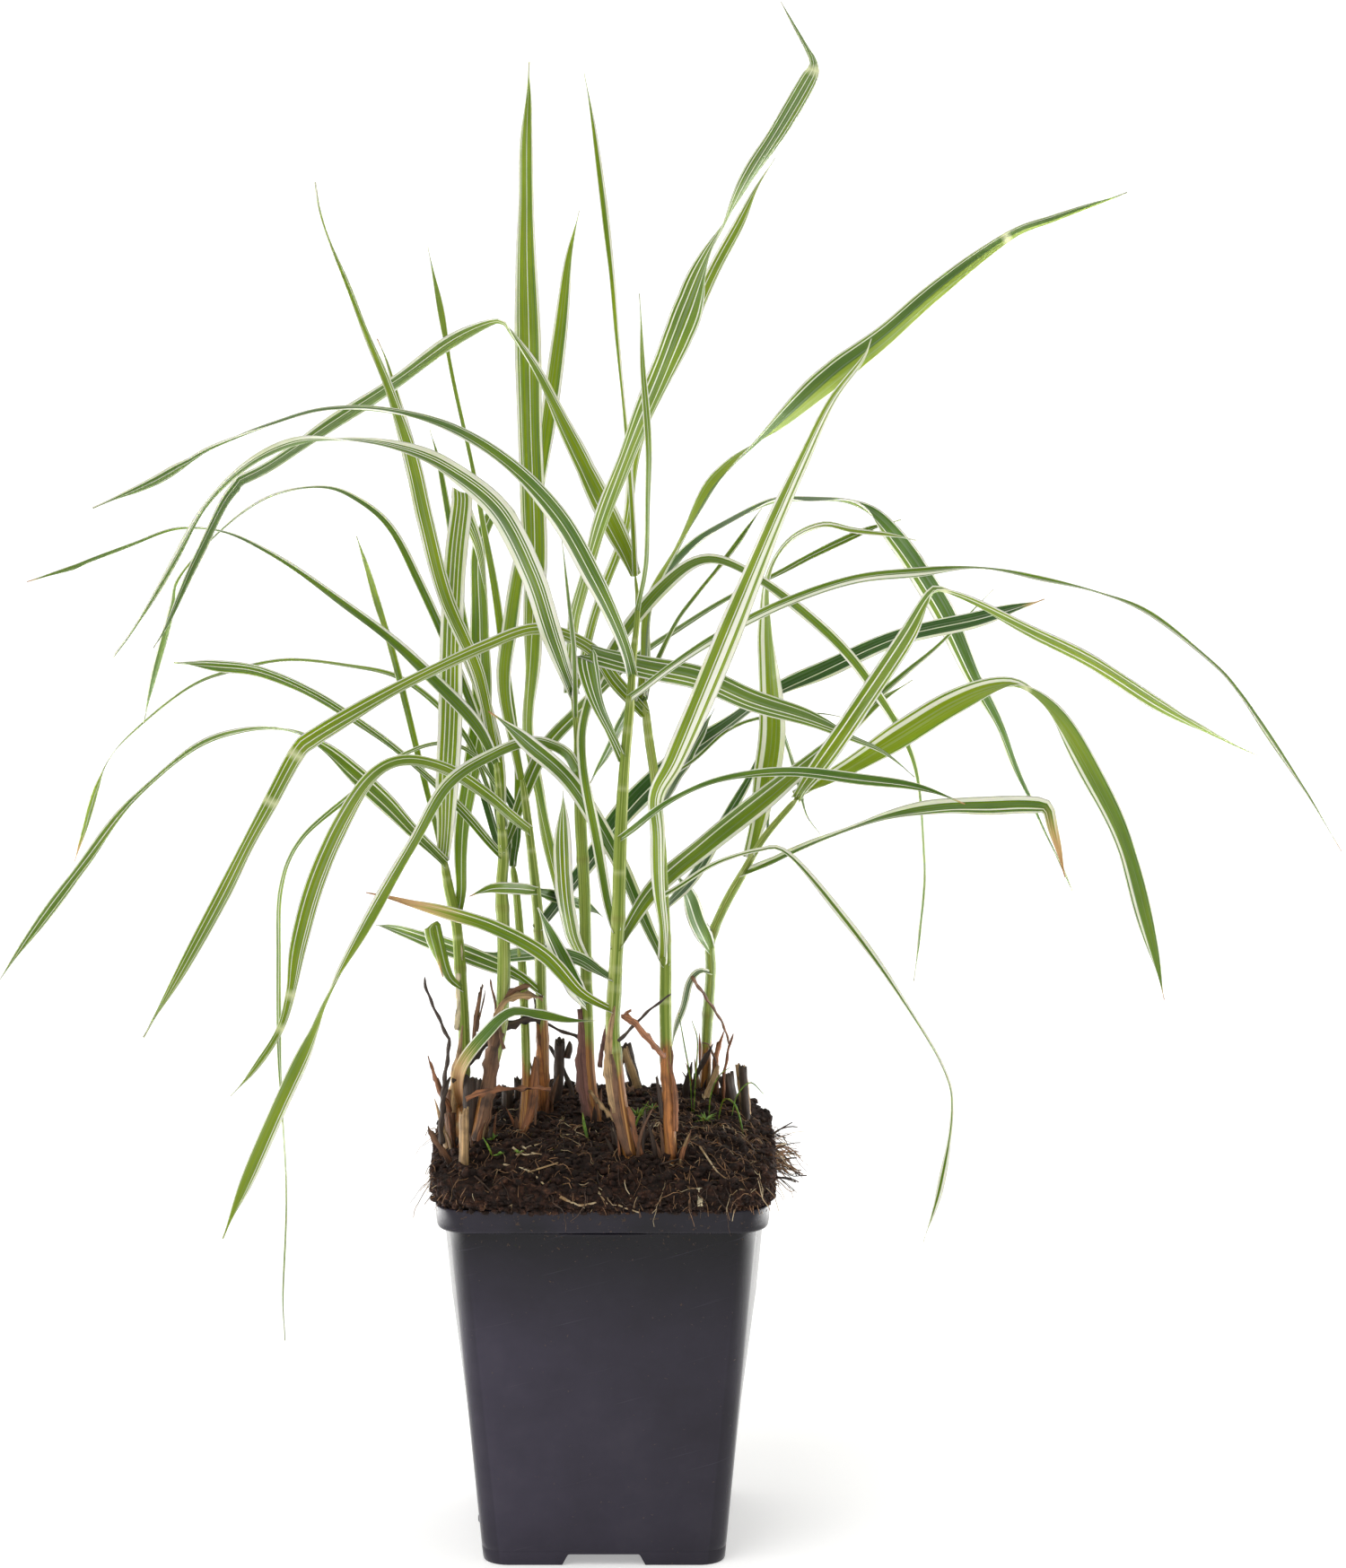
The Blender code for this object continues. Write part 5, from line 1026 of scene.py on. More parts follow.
# A row is: colour, half angle of its curl, depths, and (across, up, width) points. A sheath has no depths
# of its own: it follows the front of the stem in its name.
TORN = {
    "sheath_1_dry": ("cream", 1, (-20, -14, -12), [(-39, 136.5, 2.5), (-38, 143.5, 3),
        (-38.5, 151, 3), (-38.5, 158, 2), (-39, 163, 0.5)]),
    "sheath_1_low": ("tan", 2.2, (-16, -15, -14), [(-40, 115, 3.5), (-39, 121, 4), (-38.5, 127, 3.5),
        (-38, 132, 2), (-37.5, 138, 1)]),
    "sheath_1_foot": ("brown", 2.2, (-17, -17, -15), [(-39.5, 103.5, 3.5), (-40, 109, 4),
        (-40.5, 115, 3.5), (-41, 121, 1.5)]),
    "sheath_2_wide": ("brown", 2.2, (-20, -18, -15), [(-34, 107, 4.5), (-32, 115, 5), (-30, 123.5, 5),
        (-28.5, 132, 5), (-27, 136.5, 3.5)]),
    "sheath_2_tip": ("brown", 0.8, (-14, -14, -12), [(-29.5, 129.5, 2), (-28.5, 136.5, 2.5),
        (-27.5, 141.5, 2), (-25.5, 145.5, 2), (-22, 148.5, 1.5), (-19, 149, 0)]),
    "sheath_3_foot": ("rust", 2.2, (-16, -15, -12), [(-21.5, 110, 3.5), (-19.5, 116.5, 4),
        (-18.5, 123.5, 3), (-18, 129.5, 1)]),
    "sheath_4_foot": ("orange", 2.2, (0, -2, -4), [(-15.5, 113.5, 4.5), (-16, 121, 5),
        (-16.5, 127, 4.5), (-17, 134, 2), (-17.5, 139, 0.5)]),
    "sheath_5_foot": ("purple", 2.2, (-14, -11, -9), [(-2, 110, 5), (-4, 118.5, 5), (-5, 127, 5),
        (-5.5, 134, 3.5), (-6.5, 142.5, 1.5)]),
    "sheath_6_foot": ("brown", 2.2, (-33, -31, -30), [(7, 103.5, 3), (5, 111.5, 4), (3.5, 120, 4),
        (3, 126, 2.5), (2, 130.5, 1)]),
    "sheath_6_split": ("rust", 1.2, (-36, -35, -33), [(10.5, 103, 2), (8.5, 109, 2), (7.5, 114, 2),
        (6.5, 116.5, 1)]),
    "sheath_6_left": ("tan", 1.6, (-31, -29, -27), [(3.5, 115, 2.5), (2, 123.5, 3.5), (1.5, 132, 3),
        (2, 139, 2), (3, 143.5, 0.5)]),
    "sheath_7_foot": ("orange", 2.2, (-33, -31, -29), [(18, 103, 3), (17, 113, 3.5), (17, 121, 3.5),
        (16.5, 127, 2.5), (16.5, 132, 1)]),
    "sheath_7_side": ("rust", 1.2, (-34, -33, -33), [(19, 110, 2), (19, 116.5, 2), (18.5, 123.5, 1.5),
        (17, 129.5, 0.5)]),
    "sheath_7_left": ("dark", 1, (-32, -31, -31), [(15.5, 113.5, 1), (15, 118.5, 1.5), (14, 124.5, 0.5)]),
    "sheath_8_foot": ("rust", 1.4, (30, 28, 26), [(29, 115, 2), (30, 122.5, 2), (30, 129.5, 2),
        (32, 136.5, 0.5)]),
    "scrap_arch_cream": ("tan", 1, (-24, -20, -16), [(-29.5, 136.5, 1), (-28.5, 141.5, 1.5),
        (-25.5, 145, 2), (-21.5, 146, 2), (-16, 145.5, 0.5)]),
    "scrap_arch_dark": ("dark", 1.2, (-22, -14, -8), [(-40, 123, 1), (-36.5, 127, 2), (-30.5, 134, 2),
        (-25.5, 138, 2), (-19.5, 140, 2), (-16.5, 139.5, 1)]),
    "scrap_curl_right": ("rust", 1.3, (-34, -40, -42), [(16.5, 129.5, 1.5), (13.5, 133, 2),
        (10, 136.5, 2), (8, 139, 2), (5, 140.5, 1.5), (7.5, 142, 0)]),
    "scrap_left_fan": ("rust", 1.4, (-18, -26, -30), [(-40.5, 115, 2), (-43, 120, 2),
        (-44.5, 123.5, 1.5), (-46.5, 130, 0)]),
    "scrap_shaggy": ("brown", 1, (-28, -32, -34), [(-40, 101, 1.5), (-42.5, 104.5, 2),
        (-45.5, 109, 1.5), (-46.5, 111.5, 0)]),
    "scrap_frayed": ("brown", 0.8, (-16, -14, -12), [(-34.5, 132, 1), (-34, 139, 1.5),
        (-33, 145, 1.5), (-32, 149, 0)]),
    "scrap_pair_5": ("purple", 0.8, (-14, -16, -18), [(-1, 127, 1.5), (0, 134, 1.5), (2, 141.5, 1.5),
        (3.5, 146.5, 0)]),
    "scrap_pair_8": ("dark", 1.2, (20, 16, 14), [(21.5, 115, 2), (22, 122.5, 2.5), (23, 126, 1.5),
        (23.5, 128.5, 0)]),
    "scrap_fork_8": ("dark", 0.8, (16, 12, 8), [(23, 118.5, 1), (24.5, 124.5, 1.5), (27, 129.5, 1.5),
        (29, 133, 0)]),
    "scrap_slant_8": ("tan", 1.8, (14, 18, 20), [(25.5, 114, 1.5), (27.5, 120, 2), (29.5, 124.5, 2),
        (30.5, 127.5, 1)]),
    "scrap_thin_tan": ("tan", 0.8, (-6, -20, -30), [(-7.5, 122, 0.5), (-3, 120, 1), (0.5, 115.5, 1.5),
        (4.5, 112, 1)]),
    "scrap_flat_red": ("rust", 0.5, (-30, -30, -30), [(-36.5, 119, 1), (-29, 121, 1.5),
        (-21, 121.5, 1), (-14, 121.5, 0.5)]),
}

straw, tree = new_material("weathered_straw")
tint = add_node(tree, "Attribute", attribute_name="tint")
run = add_node(tree, "Attribute", attribute_name="run")
# Split fibres run lengthwise, 0.3 mm apart, pale on the ridges and dirty between.
fibre_place = add_node(tree, "VectorMath", {0: run.outputs["Color"], 1: (0.06, 3.0, 1.0)}, operation="MULTIPLY")
fibres = add_node(tree, "TexNoise", {0: fibre_place.outputs[0], "Scale": 1.0, "Detail": 4.0})
stain_place = add_node(tree, "VectorMath", {0: run.outputs["Color"], 1: (0.22, 0.4, 1.0)}, operation="MULTIPLY")
stains = add_node(tree, "TexNoise", {0: stain_place.outputs[0], "Scale": 1.0, "Detail": 4.0})
shade = add_node(tree, "ValToRGB", {0: fibres.outputs[0]}, stops=[(0.3, 0.4), (0.55, 1.0), (0.75, 1.5)])
fibrous = add_node(tree, "Mix", {
    0: 1.0, 6: tint.outputs["Color"], 7: shade.outputs[0]}, data_type="RGBA", blend_type="MULTIPLY")
stain_share = add_node(tree, "MapRange", {0: stains.outputs[0], 1: 0.45, 2: 0.7, 3: 0.0, 4: 0.75})
stained = add_node(tree, "Mix", {
    0: stain_share.outputs[0], 6: fibrous.outputs[2], 7: linear("#241A14")}, data_type="RGBA")
bump = add_node(tree, "Bump", {"Strength": 0.8, "Distance": 0.0004, "Height": fibres.outputs[0]})
finish_material(tree, Base_Color=stained.outputs[2], Roughness=0.7, Normal=bump.outputs[0])


def finish_dead(piece, colour, run, size, around, number):
    """Colour and fibre direction of one dead piece."""
    add_values(piece, "tint", [linear(STRAW[colour])] * len(piece.data.vertices))
    rows = np.zeros((len(run), size, 4))
    rows[..., 0] = run[:, None]
    rows[..., 1] = around[None, :]
    rows[..., 2] = 2.9 * number
    values = np.zeros((len(piece.data.vertices), 4))
    values[:rows.size // 4] = rows.reshape(-1, 4)
    add_values(piece, "run", values)
    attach(piece, "root")


def on_stem(culm, places, stand_off):
    """Moves points in depth on to the front of a stem, keeping where they are seen."""
    line, radii = culm_lines[culm]
    depth = np.interp(places[:, 2], line[:, 2], line[:, 1]) - np.maximum(
        np.interp(places[:, 2], line[:, 2], radii) + 0.15, stand_off)
    return places + SIGHT * ((depth - places[:, 1]) / SIGHT[1])[:, None]


for number, (name, (colour, angle, depths, route)) in enumerate(TORN.items()):
    source = random.Random(500 + number)
    places, widths, run = drawn_curve(depths, route, 1.5)
    widths = np.maximum(0.8 * widths, 0.3)
    if name.startswith("sheath"):
        radius = widths / 2 if angle > math.pi / 2 else widths / 2 * 1.1
        places = on_stem(int(name.split("_")[1]), places, radius)
    phase = source.uniform(0, 6)
    ragged = 1 + 0.12 * np.sin(run * 0.9 + phase) + 0.08 * np.sin(run * 2.3 + 2 * phase)
    curl = -angle * (1 + 0.15 * np.sin(run / 5 + phase))
    twist = 0.3 * np.sin(run / 7 + phase)
    a = np.linspace(1, -1, 13)
    rings = strip(places, widths * ragged, twist, 1, a, curl, 0.0, 0.22, 0.06 * widths * np.sin(run * 1.7))
    # Torn edges: the outer points of each ring run up and down by a little.
    jag = np.array([source.uniform(-0.9, 0.9) for _ in range(len(run) * 2)]).reshape(-1, 2)
    rings[:, 0, 2] += jag[:, 0]
    rings[:, 12, 2] += jag[:, 1]
    faces, _, _ = strip_faces(len(rings), 12)
    piece = add_piece(name, rings.reshape(-1, 3), faces, straw)
    finish_dead(piece, colour, run, 24, np.r_[a, a[-2:0:-1]] * widths.max() * 0.8, number)

# Slivers of older sheaths stand and lean about the feet of the stems.
source = random.Random(77)
a = np.linspace(1, -1, 7)
for colour, count in (("rust", 18), ("brown", 22), ("tan", 14), ("dark", 20)):
    points, faces, runs = [], [], []
    for _ in range(count):
        line, stem_radii = culm_lines[source.choice((1, 1, 1, 1, 2, 2, 3, 4, 5, 6, 6, 7, 8, 8, 8))]
        foot = line[np.argmax(line[:, 2] > peat_height(line[0][0], line[0][1]))]
        heading = source.uniform(0, math.tau)
        off = stem_radii[0] + 0.2 + 2.5 * source.random() ** 2
        spread = source.uniform(0.02, 0.5)
        rise = source.uniform(4, 10) + 9 * source.random() ** 3
        share = np.linspace(0, 1, 9)
        out = off + spread * rise * share ** source.uniform(1.0, 2.2)
        sway = source.uniform(-0.8, 0.8) * np.sin(share * source.uniform(2, 5))
        places = np.stack([
            foot[0] + out * math.cos(heading) - sway * math.sin(heading),
            foot[1] + out * math.sin(heading) + sway * math.cos(heading),
            peat_height(foot[0], foot[1]) - 1 + rise * share], axis=1)
        widths = source.uniform(0.7, 1.9) * (1 - share ** source.uniform(1.5, 4)) + 0.12
        rings = strip(places, widths, source.uniform(-0.9, 0.9), 1, a, -np.full(9, 0.9), 0.0, 0.15)
        new_faces, _, _ = strip_faces(9, 6)
        faces += [tuple(len(points) + v for v in face) for face in new_faces]
        points += [tuple(p) for p in rings.reshape(-1, 3)]
        runs.append(rise * share)
    piece = add_piece("slivers_" + colour, points, faces, straw)
    finish_dead(piece, colour, np.concatenate(runs), 12, np.r_[a, a[-2:0:-1]], count)

# A row is: colour, diameter, depths, and (across, up) points.
TWIGS = {
    "twig_wavy_left": ("dark", 1.3, (-24, -30, -36), [(-42.5, 115), (-42.5, 121), (-41, 133), (-42, 136.5), (-46.5, 146.5), (-47.5, 151)]),
    "twig_left_low": ("dark", 1.8, (-26, -26, -26), [(-43, 107), (-43, 113), (-42, 121), (-40.5, 124.5)]),
    "twig_spike_2": ("brown", 1, (-20, -20, -20), [(-26.5, 132), (-28, 140), (-30, 150.5)]),
    "twig_behind_4": ("dark", 1.5, (8, 6, 4), [(-14.5, 121), (-16, 132), (-18, 143.5), (-18.5, 145.5)]),
    "twig_bow_right_4": ("dark", 1.6, (8, 10, 12), [(-9, 116), (-8.5, 121), (-10.5, 126), (-14.5, 133)]),
    "twig_arm_5": ("dark", 1.2, (-4, -2, 0), [(-4.5, 133.5), (-7.5, 135.5), (-12, 137), (-15.5, 139)]),
    "twig_long_right": ("dark", 1, (-34, -36, -40), [(4, 134), (6.5, 136.5), (12, 142), (18, 146.5)]),
    "twig_right_7": ("brown", 1, (-20, -10, 0), [(23.5, 151), (27, 146), (31.5, 139), (33.5, 133)]),
    "twig_fork_7": ("brown", 0.9, (-30, -30, -28), [(17, 116.5), (18, 123.5), (18, 132), (15.5, 136.5)]),
    "twig_8_front": ("rust", 1.1, (24, 22, 20), [(32, 117.5), (32, 124.5), (33.5, 133), (34.5, 136)]),
    "twig_8_thin": ("brown", 0.8, (22, 20, 18), [(30.5, 124.5), (29.5, 129.5), (28, 133), (26, 133.5)]),
    "twig_bent_4": ("dark", 2.2, (6, 6, 6), [(-9.5, 129.5), (-9, 133.5), (-9, 134)]),
    "twig_fray_a": ("brown", 0.7, (-14, -13, -12), [(-33.5, 136.5), (-33, 142.5), (-32.5, 148.5)]),
    "twig_fray_b": ("brown", 0.6, (-14, -13, -12), [(-33.5, 139), (-32, 143.5), (-31.5, 147.5)]),
}
for number, (name, (colour, diameter, depths, route)) in enumerate(TWIGS.items()):
    places, _, run = drawn_curve(depths, [(x, y, 0) for x, y in route], 1.0)
    wobble = np.stack([np.sin(run * 0.9 + number), np.cos(run * 0.7 + number), 0 * run], axis=1)
    radii = diameter / 2 * (1 - 0.45 * run / run[-1]) * (1 + 0.18 * np.sin(run * 1.3 + number))
    radii[-1] *= 0.4
    points, faces = skin(tube(places + 0.12 * wobble, radii, 7))
    finish_dead(add_piece(name, points, faces, straw), colour, run, 7, np.linspace(0, 3, 7), 50 + number)

# Cut stalks are hollow, so their tops end in a ring round a dark hole. A row is: colour, diameter, depth
# and (across, up) points; the first three stand for the part's own solids.
STALKS = {
    "cut_stub_1": ("tan", 2.6, -32, [(-37, 103), (-37, 110), (-37, 115.5)]),
    "cut_stub_2": ("tan", 2.2, 21, [(10, 118.5), (8, 125), (5.5, 131.5)]),
    "cut_stub_3": ("dark", 2.2, 10, [(38, 114), (37.5, 120), (37, 127)]),
    "stump_2_back": ("dark", 3, 10, [(-25.5, 111), (-25.5, 121.5)]),
    "stump_3_back": ("dark", 2.4, 12, [(-22.5, 111.5), (-22.5, 123.5)]),
    "stump_mid": ("dark", 3.2, 30, [(10.5, 116), (8, 124.5), (6, 132.5)]),
    "stump_short": ("brown", 3.4, 16, [(6.5, 112.5), (6.5, 121)]),
    "stump_8": ("dark", 4.2, 26, [(33.5, 111.5), (33.5, 118.5), (32.5, 125)]),
    "stump_left": ("dark", 3.4, -2, [(-34.5, 109), (-33.5, 116.5), (-32.5, 123.5)]),
    "stump_left_front": ("dark", 3.6, -20, [(-36, 105.5), (-35.5, 113), (-35.5, 124.5)]),
    "stump_right": ("tan", 3, 16, [(38, 111.5), (37.5, 118.5), (36.5, 127)]),
    "stump_4_back": ("dark", 2.8, 6, [(-13, 117), (-12, 122.5), (-11.5, 134)]),
}
for number, (name, (colour, diameter, depth, route)) in enumerate(STALKS.items()):
    places, _, run = drawn_curve((depth,) * 3, [(x, y, 0) for x, y in route], 1.5)
    places = np.concatenate([[places[0] - np.array([0, 0, PEAT_DEPTH])], places])
    radii = np.full(len(places), diameter / 2) * (1 + 0.05 * np.sin(np.arange(len(places)) * 1.9 + number))
    rings = tube(places, radii, 16)
    # The cut is slanted and ragged.
    ragged = [0.5 * math.sin(i * 2.1 + number) + 0.7 * math.cos(math.tau * i / 16 + number) for i in range(16)]
    rings[-1][:, 2] += ragged
    inner = [rings[-1] + (places[-1] - rings[-1]) * np.array([0.35, 0.35, 0.0]) - np.array([0, 0, 0.05])]
    inner.append(inner[0] - np.array([0, 0, 3.0]))
    points, faces = skin(list(rings) + inner)
    piece = add_piece(name.replace("cut_stub", "cut_stalk"), points, faces, straw)
    length = np.r_[0, run + PEAT_DEPTH, run[-1] + 9, run[-1] + 12]
    finish_dead(piece, colour, length, 16, np.linspace(0, 5, 16), 80 + number)
    if name.startswith("cut_stub"):
        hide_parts(name)


# Roots and litter. Thin cream and brown roots lie over the peat and stick out past its edge, with chaff
# of straw, a flat reddish stalk and a bit of cream wood near the front.
def fibre(points, faces, line, radius, sides=5):
    """Adds a thin tube along a line of points."""
    line = np.asarray(line, float)
    radii = radius * np.linspace(1.0, 0.55, len(line))
    more, more_faces = skin(tube(line, radii, sides))
    start = len(points)
    points += [tuple(p) for p in more]
    faces += [tuple(start + i for i in face) for face in more_faces]


def on_peat(across, up):
    """A point drawn in the front view put on the peat's surface."""
    low, high = -60.0, 60.0
    for _ in range(30):
        middle = (low + high) / 2
        x, y, z = from_view(np.array(across), np.array(up), np.array(middle))
        inside = abs(x) < PEAT_HALF and abs(y) < PEAT_HALF
        if (peat_height(x, y) if inside else POT_TOP - 40) > z and y > -PEAT_HALF:
            high = middle
        else:
            low = middle
    return np.array([x, max(y, -PEAT_HALF - 0.6), z])


fibre_stuff = {}
for key, codes in (
    ("root_fibre", ("#D2C09C", "#86663F")),
    ("straw_fibre", ("#9A7450", "#5A3F29")),
    ("dark_fibre", ("#4A3424", "#22160F"))):
    material, tree = new_material(key)
    place = add_node(tree, "TexCoord").outputs["Object"]
    # Stained unevenly by the peat, in patches of about 4 mm.
    stain = add_node(tree, "TexNoise", {0: place, "Scale": 260.0, "Detail": 3.0})
    shade = add_node(tree, "ValToRGB", {0: stain.outputs[0]}, stops=[(0.35, codes[0]), (0.65, codes[1])])
    fine = add_node(tree, "TexNoise", {0: place, "Scale": 2500.0, "Detail": 2.0})
    bump = add_node(tree, "Bump", {"Strength": 0.4, "Distance": 0.0002, "Height": fine.outputs[0]})
    finish_material(tree, Base_Color=shade.outputs[0], Roughness=0.65, Normal=bump.outputs[0])
    fibre_stuff[key] = material

for key, count, thick in (("root_fibre", 110, 0.11), ("straw_fibre", 420, 0.12), ("dark_fibre", 300, 0.14)):
    points, faces = [], []
    for _ in range(count):
        # More of them at the front and on the right, where the ball's edge is matted.
        angle = chance.choice((chance.uniform(-math.pi, 0.3), chance.uniform(-1.2, 0.4), chance.uniform(0, math.tau)))
        reach = peat_reach(angle) * chance.uniform(0.35, 1.0)
        x, y = reach * math.cos(angle), reach * math.sin(angle)
        heading = chance.uniform(0, math.tau)
        arch = chance.uniform(0.1, 1.4)
        line = []
        steps = chance.randint(5, 12)
        for k in range(steps):
            lift = arch * math.sin(math.pi * k / (steps - 1))
            inside = math.hypot(x, y) < peat_reach(math.atan2(y, x))
            drop = 0.0 if inside else (math.hypot(x, y) - peat_reach(math.atan2(y, x))) * 0.8
            line.append((x, y, peat_height(x, y) + lift - drop))
            heading += chance.uniform(-0.6, 0.6)
            x += 1.1 * math.cos(heading)
            y += 1.1 * math.sin(heading)
        fibre(points, faces, line, thick * chance.uniform(0.6, 1.4))
    piece = add_piece(key + "s", points, faces, fibre_stuff[key])
    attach(piece, "root")

# The matted edge: fibres that leave the side of the ball just over the rim and hang or stick out.
for key, count, thick in (("root_fringe", 34, 0.13), ("straw_fringe", 150, 0.12), ("dark_fringe", 90, 0.17)):
    points, faces = [], []
    for _ in range(count):
        angle = chance.choice((
            chance.uniform(-0.5, 0.1), chance.uniform(-0.2, 0.15), chance.uniform(-2.3, -0.75),
            chance.uniform(-2.3, -0.75), chance.choice((chance.uniform(-2.9, -2.3), chance.uniform(0, math.pi)))))
        out = peat_reach(angle)
        x, y = (out - 1.0) * math.cos(angle), (out - 1.0) * math.sin(angle)
        z = chance.uniform(POT_TOP + 0.6, peat_height(x, y) - 0.5)
        right = -0.6 < angle < 0.3
        reach = chance.uniform(1.5, 4.0) + (7.0 * chance.random() if right else 0.0)
        heading = angle + chance.uniform(-1.4, 1.4) * (0.6 if right else 1.0)
        climb = chance.uniform(-0.2, 1.1) if right else chance.uniform(-0.5, 0.9)
        line = []
        for k in range(7):
            line.append((x, y, z))
            heading += chance.uniform(-0.35, 0.35)
            climb -= chance.uniform(0.05, 0.3 if right else 0.4)
            x += reach / 6 * math.cos(heading)
            y += reach / 6 * math.sin(heading)
            z = max(z + reach / 6 * climb, POT_TOP + 0.25 if math.hypot(x, y) < out else POT_TOP - 2.5)
        fibre(points, faces, line, thick * chance.uniform(0.6, 2.2 if right else 1.4))
    piece = add_piece(key, points, faces, fibre_stuff[key.split("_")[0] + "_fibre"])
    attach(piece, "root")

# The roots that show one by one, as (across, up) points on the peat with a diameter.
ROOTS = {
    "root_long_left": ("root_fibre", 0.7, 0.3, [(-26.5, 101.0), (-19.5, 99.5), (-15.0, 95.0), (-11.5, 93.0)]),
    "root_white": ("root_fibre", 0.9, 0.3, [(-11.5, 92.5), (-6.5, 90.0), (-1.5, 91.0)]),
    "root_down": ("root_fibre", 0.6, 0.2, [(-1.5, 94.0), (0.0, 92.0), (2.0, 89.5)]),
    "root_over_rim": ("root_fibre", 0.6, 0.6, [(4.0, 90.0), (6.5, 89.0), (9.5, 88.0)]),
    "root_right": ("root_fibre", 0.6, 0.3, [(25.5, 106.0), (30.5, 98.5), (35.0, 96.0)]),
    "root_cluster_a": ("root_fibre", 0.8, 0.4, [(-23.0, 103.5), (-20.0, 105.5), (-16.5, 106.5)]),
    "root_cluster_b": ("root_fibre", 0.7, 0.4, [(-22.0, 106.0), (-19.0, 104.0), (-16.0, 103.5)]),
    "root_cluster_c": ("root_fibre", 0.6, 0.8, [(-24.0, 105.0), (-21.0, 103.0), (-17.5, 103.5)]),
    "root_mid": ("dark_fibre", 0.7, 0.3, [(-40.0, 101.0), (-34.0, 98.0), (-29.5, 93.5)]),
    "root_front_dark": ("dark_fibre", 0.6, 0.3, [(15.0, 101.0), (23.5, 103.5), (30.5, 101.0)]),
}
for name, (material_name, diameter, lift, route) in ROOTS.items():
    line = np.array([on_peat(x, y) for x, y in route])
    line[:, 2] += lift
    line[:, 1] -= 0.3
    fine = np.linspace(0, len(line) - 1, len(line) * 5)
    smooth_line = np.stack([np.interp(fine, np.arange(len(line)), line[:, k]) for k in range(3)], axis=1)
    for _ in range(3):
        smooth_line[1:-1] = (smooth_line[:-2] + 2 * smooth_line[1:-1] + smooth_line[2:]) / 4
    points, faces = [], []
    fibre(points, faces, smooth_line, diameter / 2, 7)
    piece = add_piece(name, points, faces, fibre_stuff[material_name])
    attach(piece, "root")

for name, colour, size, ends in (
    ("flat_straw", "rust", (0.8, 0.45), ((11.8, 97.5), (27.6, 96.8))),
    ("wood_chip", "cream", (0.8, 0.6), ((25.4, 94.9), (25.8, 90.0))),
    ("straw_scrap", "tan", (0.5, 0.3), ((-20.0, 99.0), (-12.0, 101.5))),
):
    a, b = (on_peat(*end) for end in ends)
    ring_count = 8
    places = np.linspace(a, b, ring_count) + np.array([0, -0.5, 0.35])
    rings = tube(places, np.full(ring_count, size[0]), 10)
    centre = places
    rings = [c + (r - c) * np.array([1, 1, size[1]]) for c, r in zip(centre, rings)]
    points, faces = skin(rings)
    piece = add_piece(name, points, faces, straw)
    finish_dead(piece, colour, np.linspace(0, 15, ring_count), 10, np.linspace(0, 3, 10), 120)


# Seedlings. Small weeds and young grass have come up in the peat: round seed leaves, thin bent blades
# and a feathery tuft, all of this year's fresh soft green.
sprout, tree = new_material("young_seedling_leaf")
place = add_node(tree, "TexCoord").outputs["Object"]
# Soft cells 1 mm wide vary the green.
cells = add_node(tree, "TexNoise", {0: place, "Scale": 800.0, "Detail": 3.0})
shade = add_node(tree, "ValToRGB", {0: cells.outputs[0]}, stops=[
    (0.35, "#426A18"), (0.5, "#5C8522"), (0.68, "#84A53C")])
bump = add_node(tree, "Bump", {"Strength": 0.3, "Distance": 0.0002, "Height": cells.outputs[0]})
finish_material(
    tree, Base_Color=shade.outputs[0], Roughness=0.5, Normal=bump.outputs[0],
    Subsurface_Weight=0.25, Subsurface_Scale=0.0006)

# A row is: width, depth offset from the peat, and (across, up) points.
SPROUTS = {
    "sprout_arch_right": (0.7, 3, [(30.5, 113.0), (32.0, 118.5), (35.0, 117.0), (37.0, 110.0), (38.0, 101.5)]),
    "sprout_arch_back": (0.5, -2, [(34.0, 113.5), (35.5, 119.5), (39.0, 123.0), (42.5, 120.0)]),
    "sprout_wisp_a": (0.5, 2, [(23.5, 115.0), (23.0, 124.5), (21.5, 133.0), (20.0, 141.5)]),
    "sprout_wisp_b": (0.5, 0, [(24.0, 115.0), (24.5, 124.5), (25.0, 134.0), (23.5, 139.5)]),
    "sprout_blade_a": (1.3, 0, [(-4.0, 107.5), (-5.0, 111.5), (-5.5, 115.0)]),
    "sprout_blade_b": (1.4, 2, [(-1.5, 103.5), (-4.0, 101.0), (-6.5, 98.0)]),
    "sprout_blade_c": (0.9, 0, [(8.0, 110.0), (9.5, 114.0), (12.0, 118.0)]),
    "sprout_wisp_c": (0.5, 1, [(28.0, 113.0), (28.5, 119.5), (30.5, 124.5), (33.5, 127.0)]),
    "sprout_left": (0.8, 1, [(-29.5, 103.5), (-30.5, 106.0), (-32.0, 108.5)]),
}
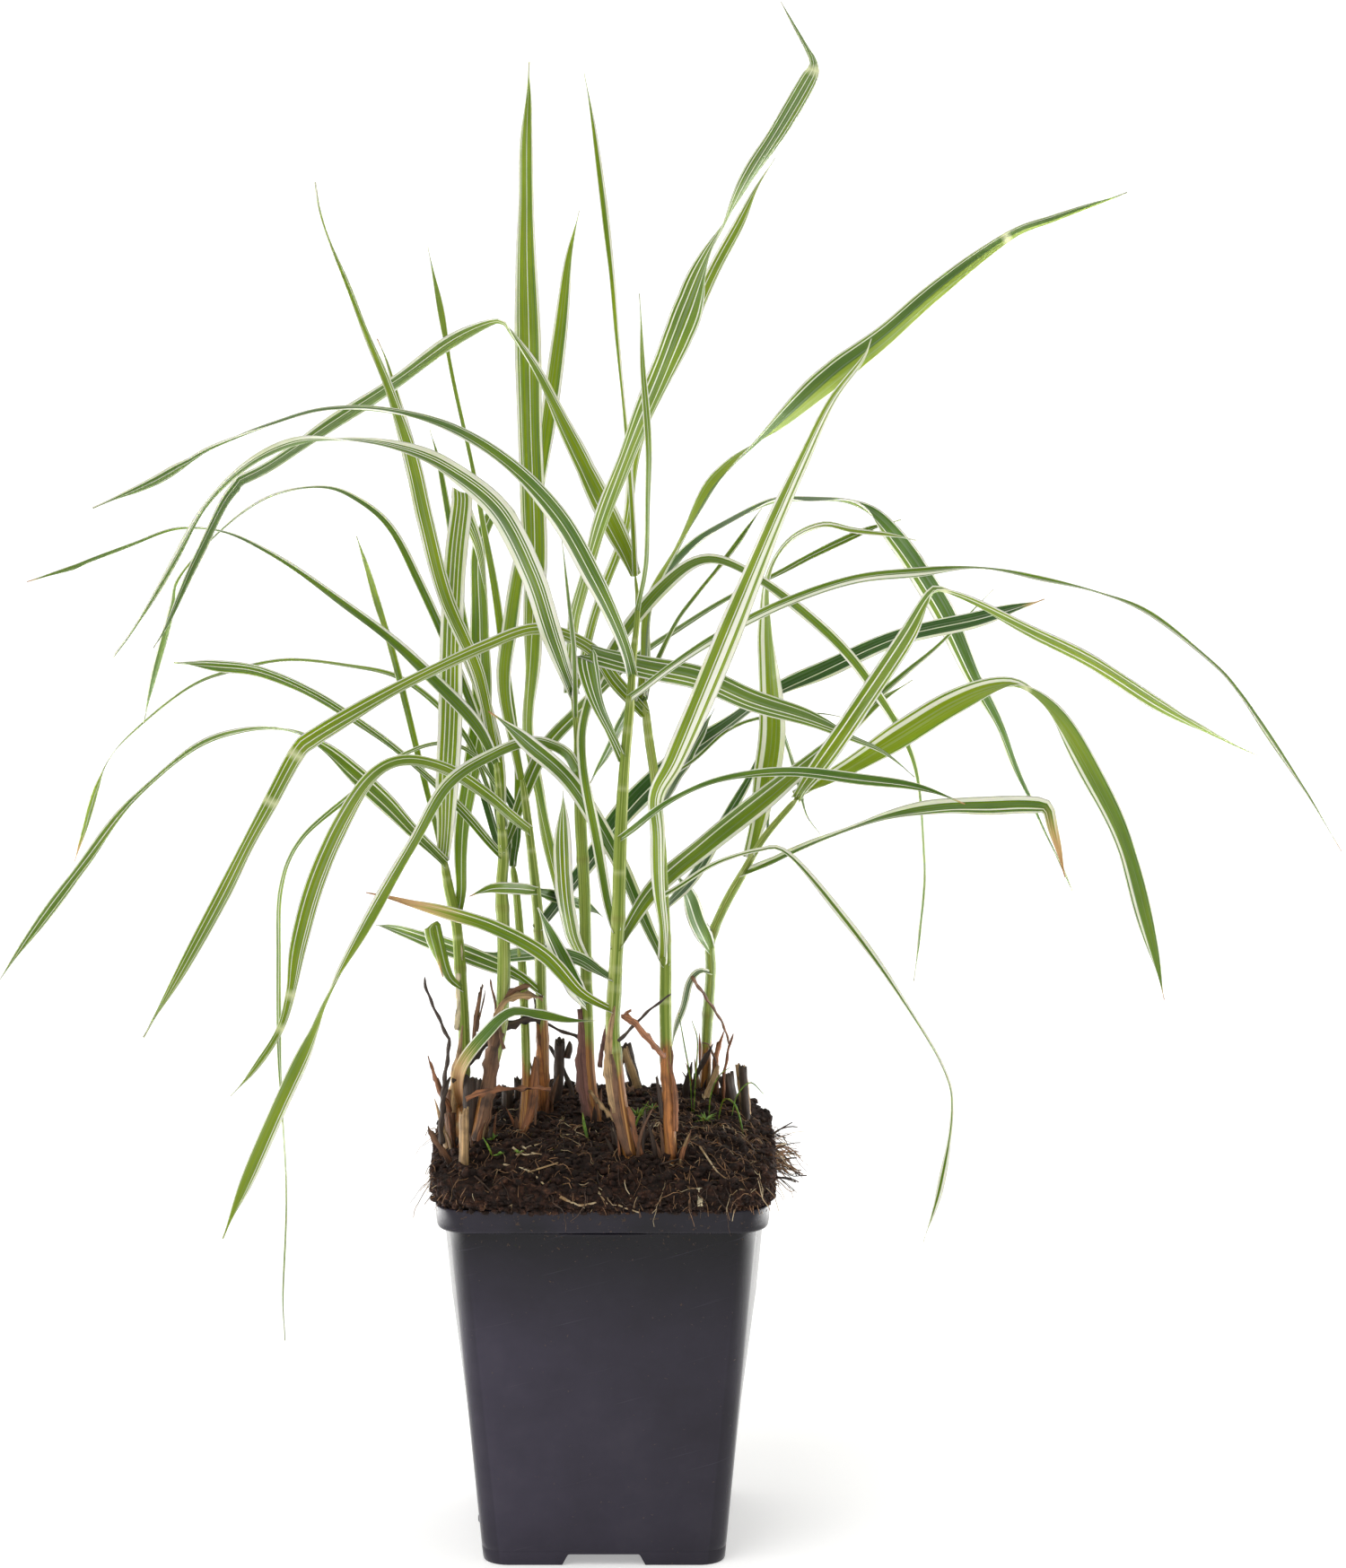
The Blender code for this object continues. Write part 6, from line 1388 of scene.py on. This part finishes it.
for number, (name, (width, rise, route)) in enumerate(SPROUTS.items()):
    foot = on_peat(*route[0])
    depth = foot[1]
    wide = [0.7 * width * min(1.0, 0.6 + k) for k in range(len(route) - 1)] + [0.15]
    rows = [(x, y, w) for (x, y), w in zip(route, wide)]
    places, widths, run = drawn_curve((depth, depth - rise, depth - 1.6 * rise), rows, 0.8)
    rings = strip(places, np.maximum(widths, 0.12), 0 * run, 1, np.linspace(1, -1, 5), np.full(len(run), 0.5), 0.1, 0.15)
    faces, _, _ = strip_faces(len(rings), 4)
    piece = add_piece(name, rings.reshape(-1, 3), faces, sprout)
    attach(piece, "root")

# Seed leaves and feathery tufts as small leaflets round a centre: (across, up, leaflets, length, width).
for name, across, up, leaflets, length, width in (
    ("seed_leaves_left", -29.5, 107.0, 4, 2.6, 1.5),
    ("seed_leaves_low", -27.5, 103.0, 4, 2.0, 1.3),
    ("seed_leaves_near", -22.5, 103.5, 3, 2.2, 1.4),
    ("feathery_tuft", 9.0, 113.5, 26, 3.6, 0.35),
    ("feathery_tuft_back", 13.0, 115.0, 18, 3.2, 0.35),
    ("star_tuft", 27.0, 112.0, 12, 4.6, 0.6),
):
    source = random.Random(name)
    centre = on_peat(across, up) + np.array([0, 0, 0.8])
    points, faces = [], []
    for k in range(leaflets):
        around = math.tau * k / leaflets + source.uniform(-0.3, 0.3)
        lift = source.uniform(0.2, 1.1)
        way = np.array([math.cos(around) * math.cos(lift), math.sin(around) * math.cos(lift), math.sin(lift)])
        side_way = np.cross(way, [0, 0, 1.0])
        side_way /= np.linalg.norm(side_way)
        up_way = np.cross(side_way, way)
        reach = length * source.uniform(0.7, 1.1)
        rings = []
        for s in np.linspace(0, 1, 7):
            droop = np.array([0, 0, -0.25 * reach * s ** 2])
            half = width / 2 * max(0.12, math.sin(math.pi * min(0.98, 0.15 + 0.85 * s)))
            middle = centre + way * reach * s + droop
            rings.append([
                middle + side_way * half, middle + up_way * 0.08,
                middle - side_way * half, middle - up_way * 0.08])
        more, more_faces = skin(rings)
        start = len(points)
        points += more
        faces += [tuple(start + i for i in face) for face in more_faces]
    piece = add_piece(name, points, faces, sprout)
    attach(piece, "root")
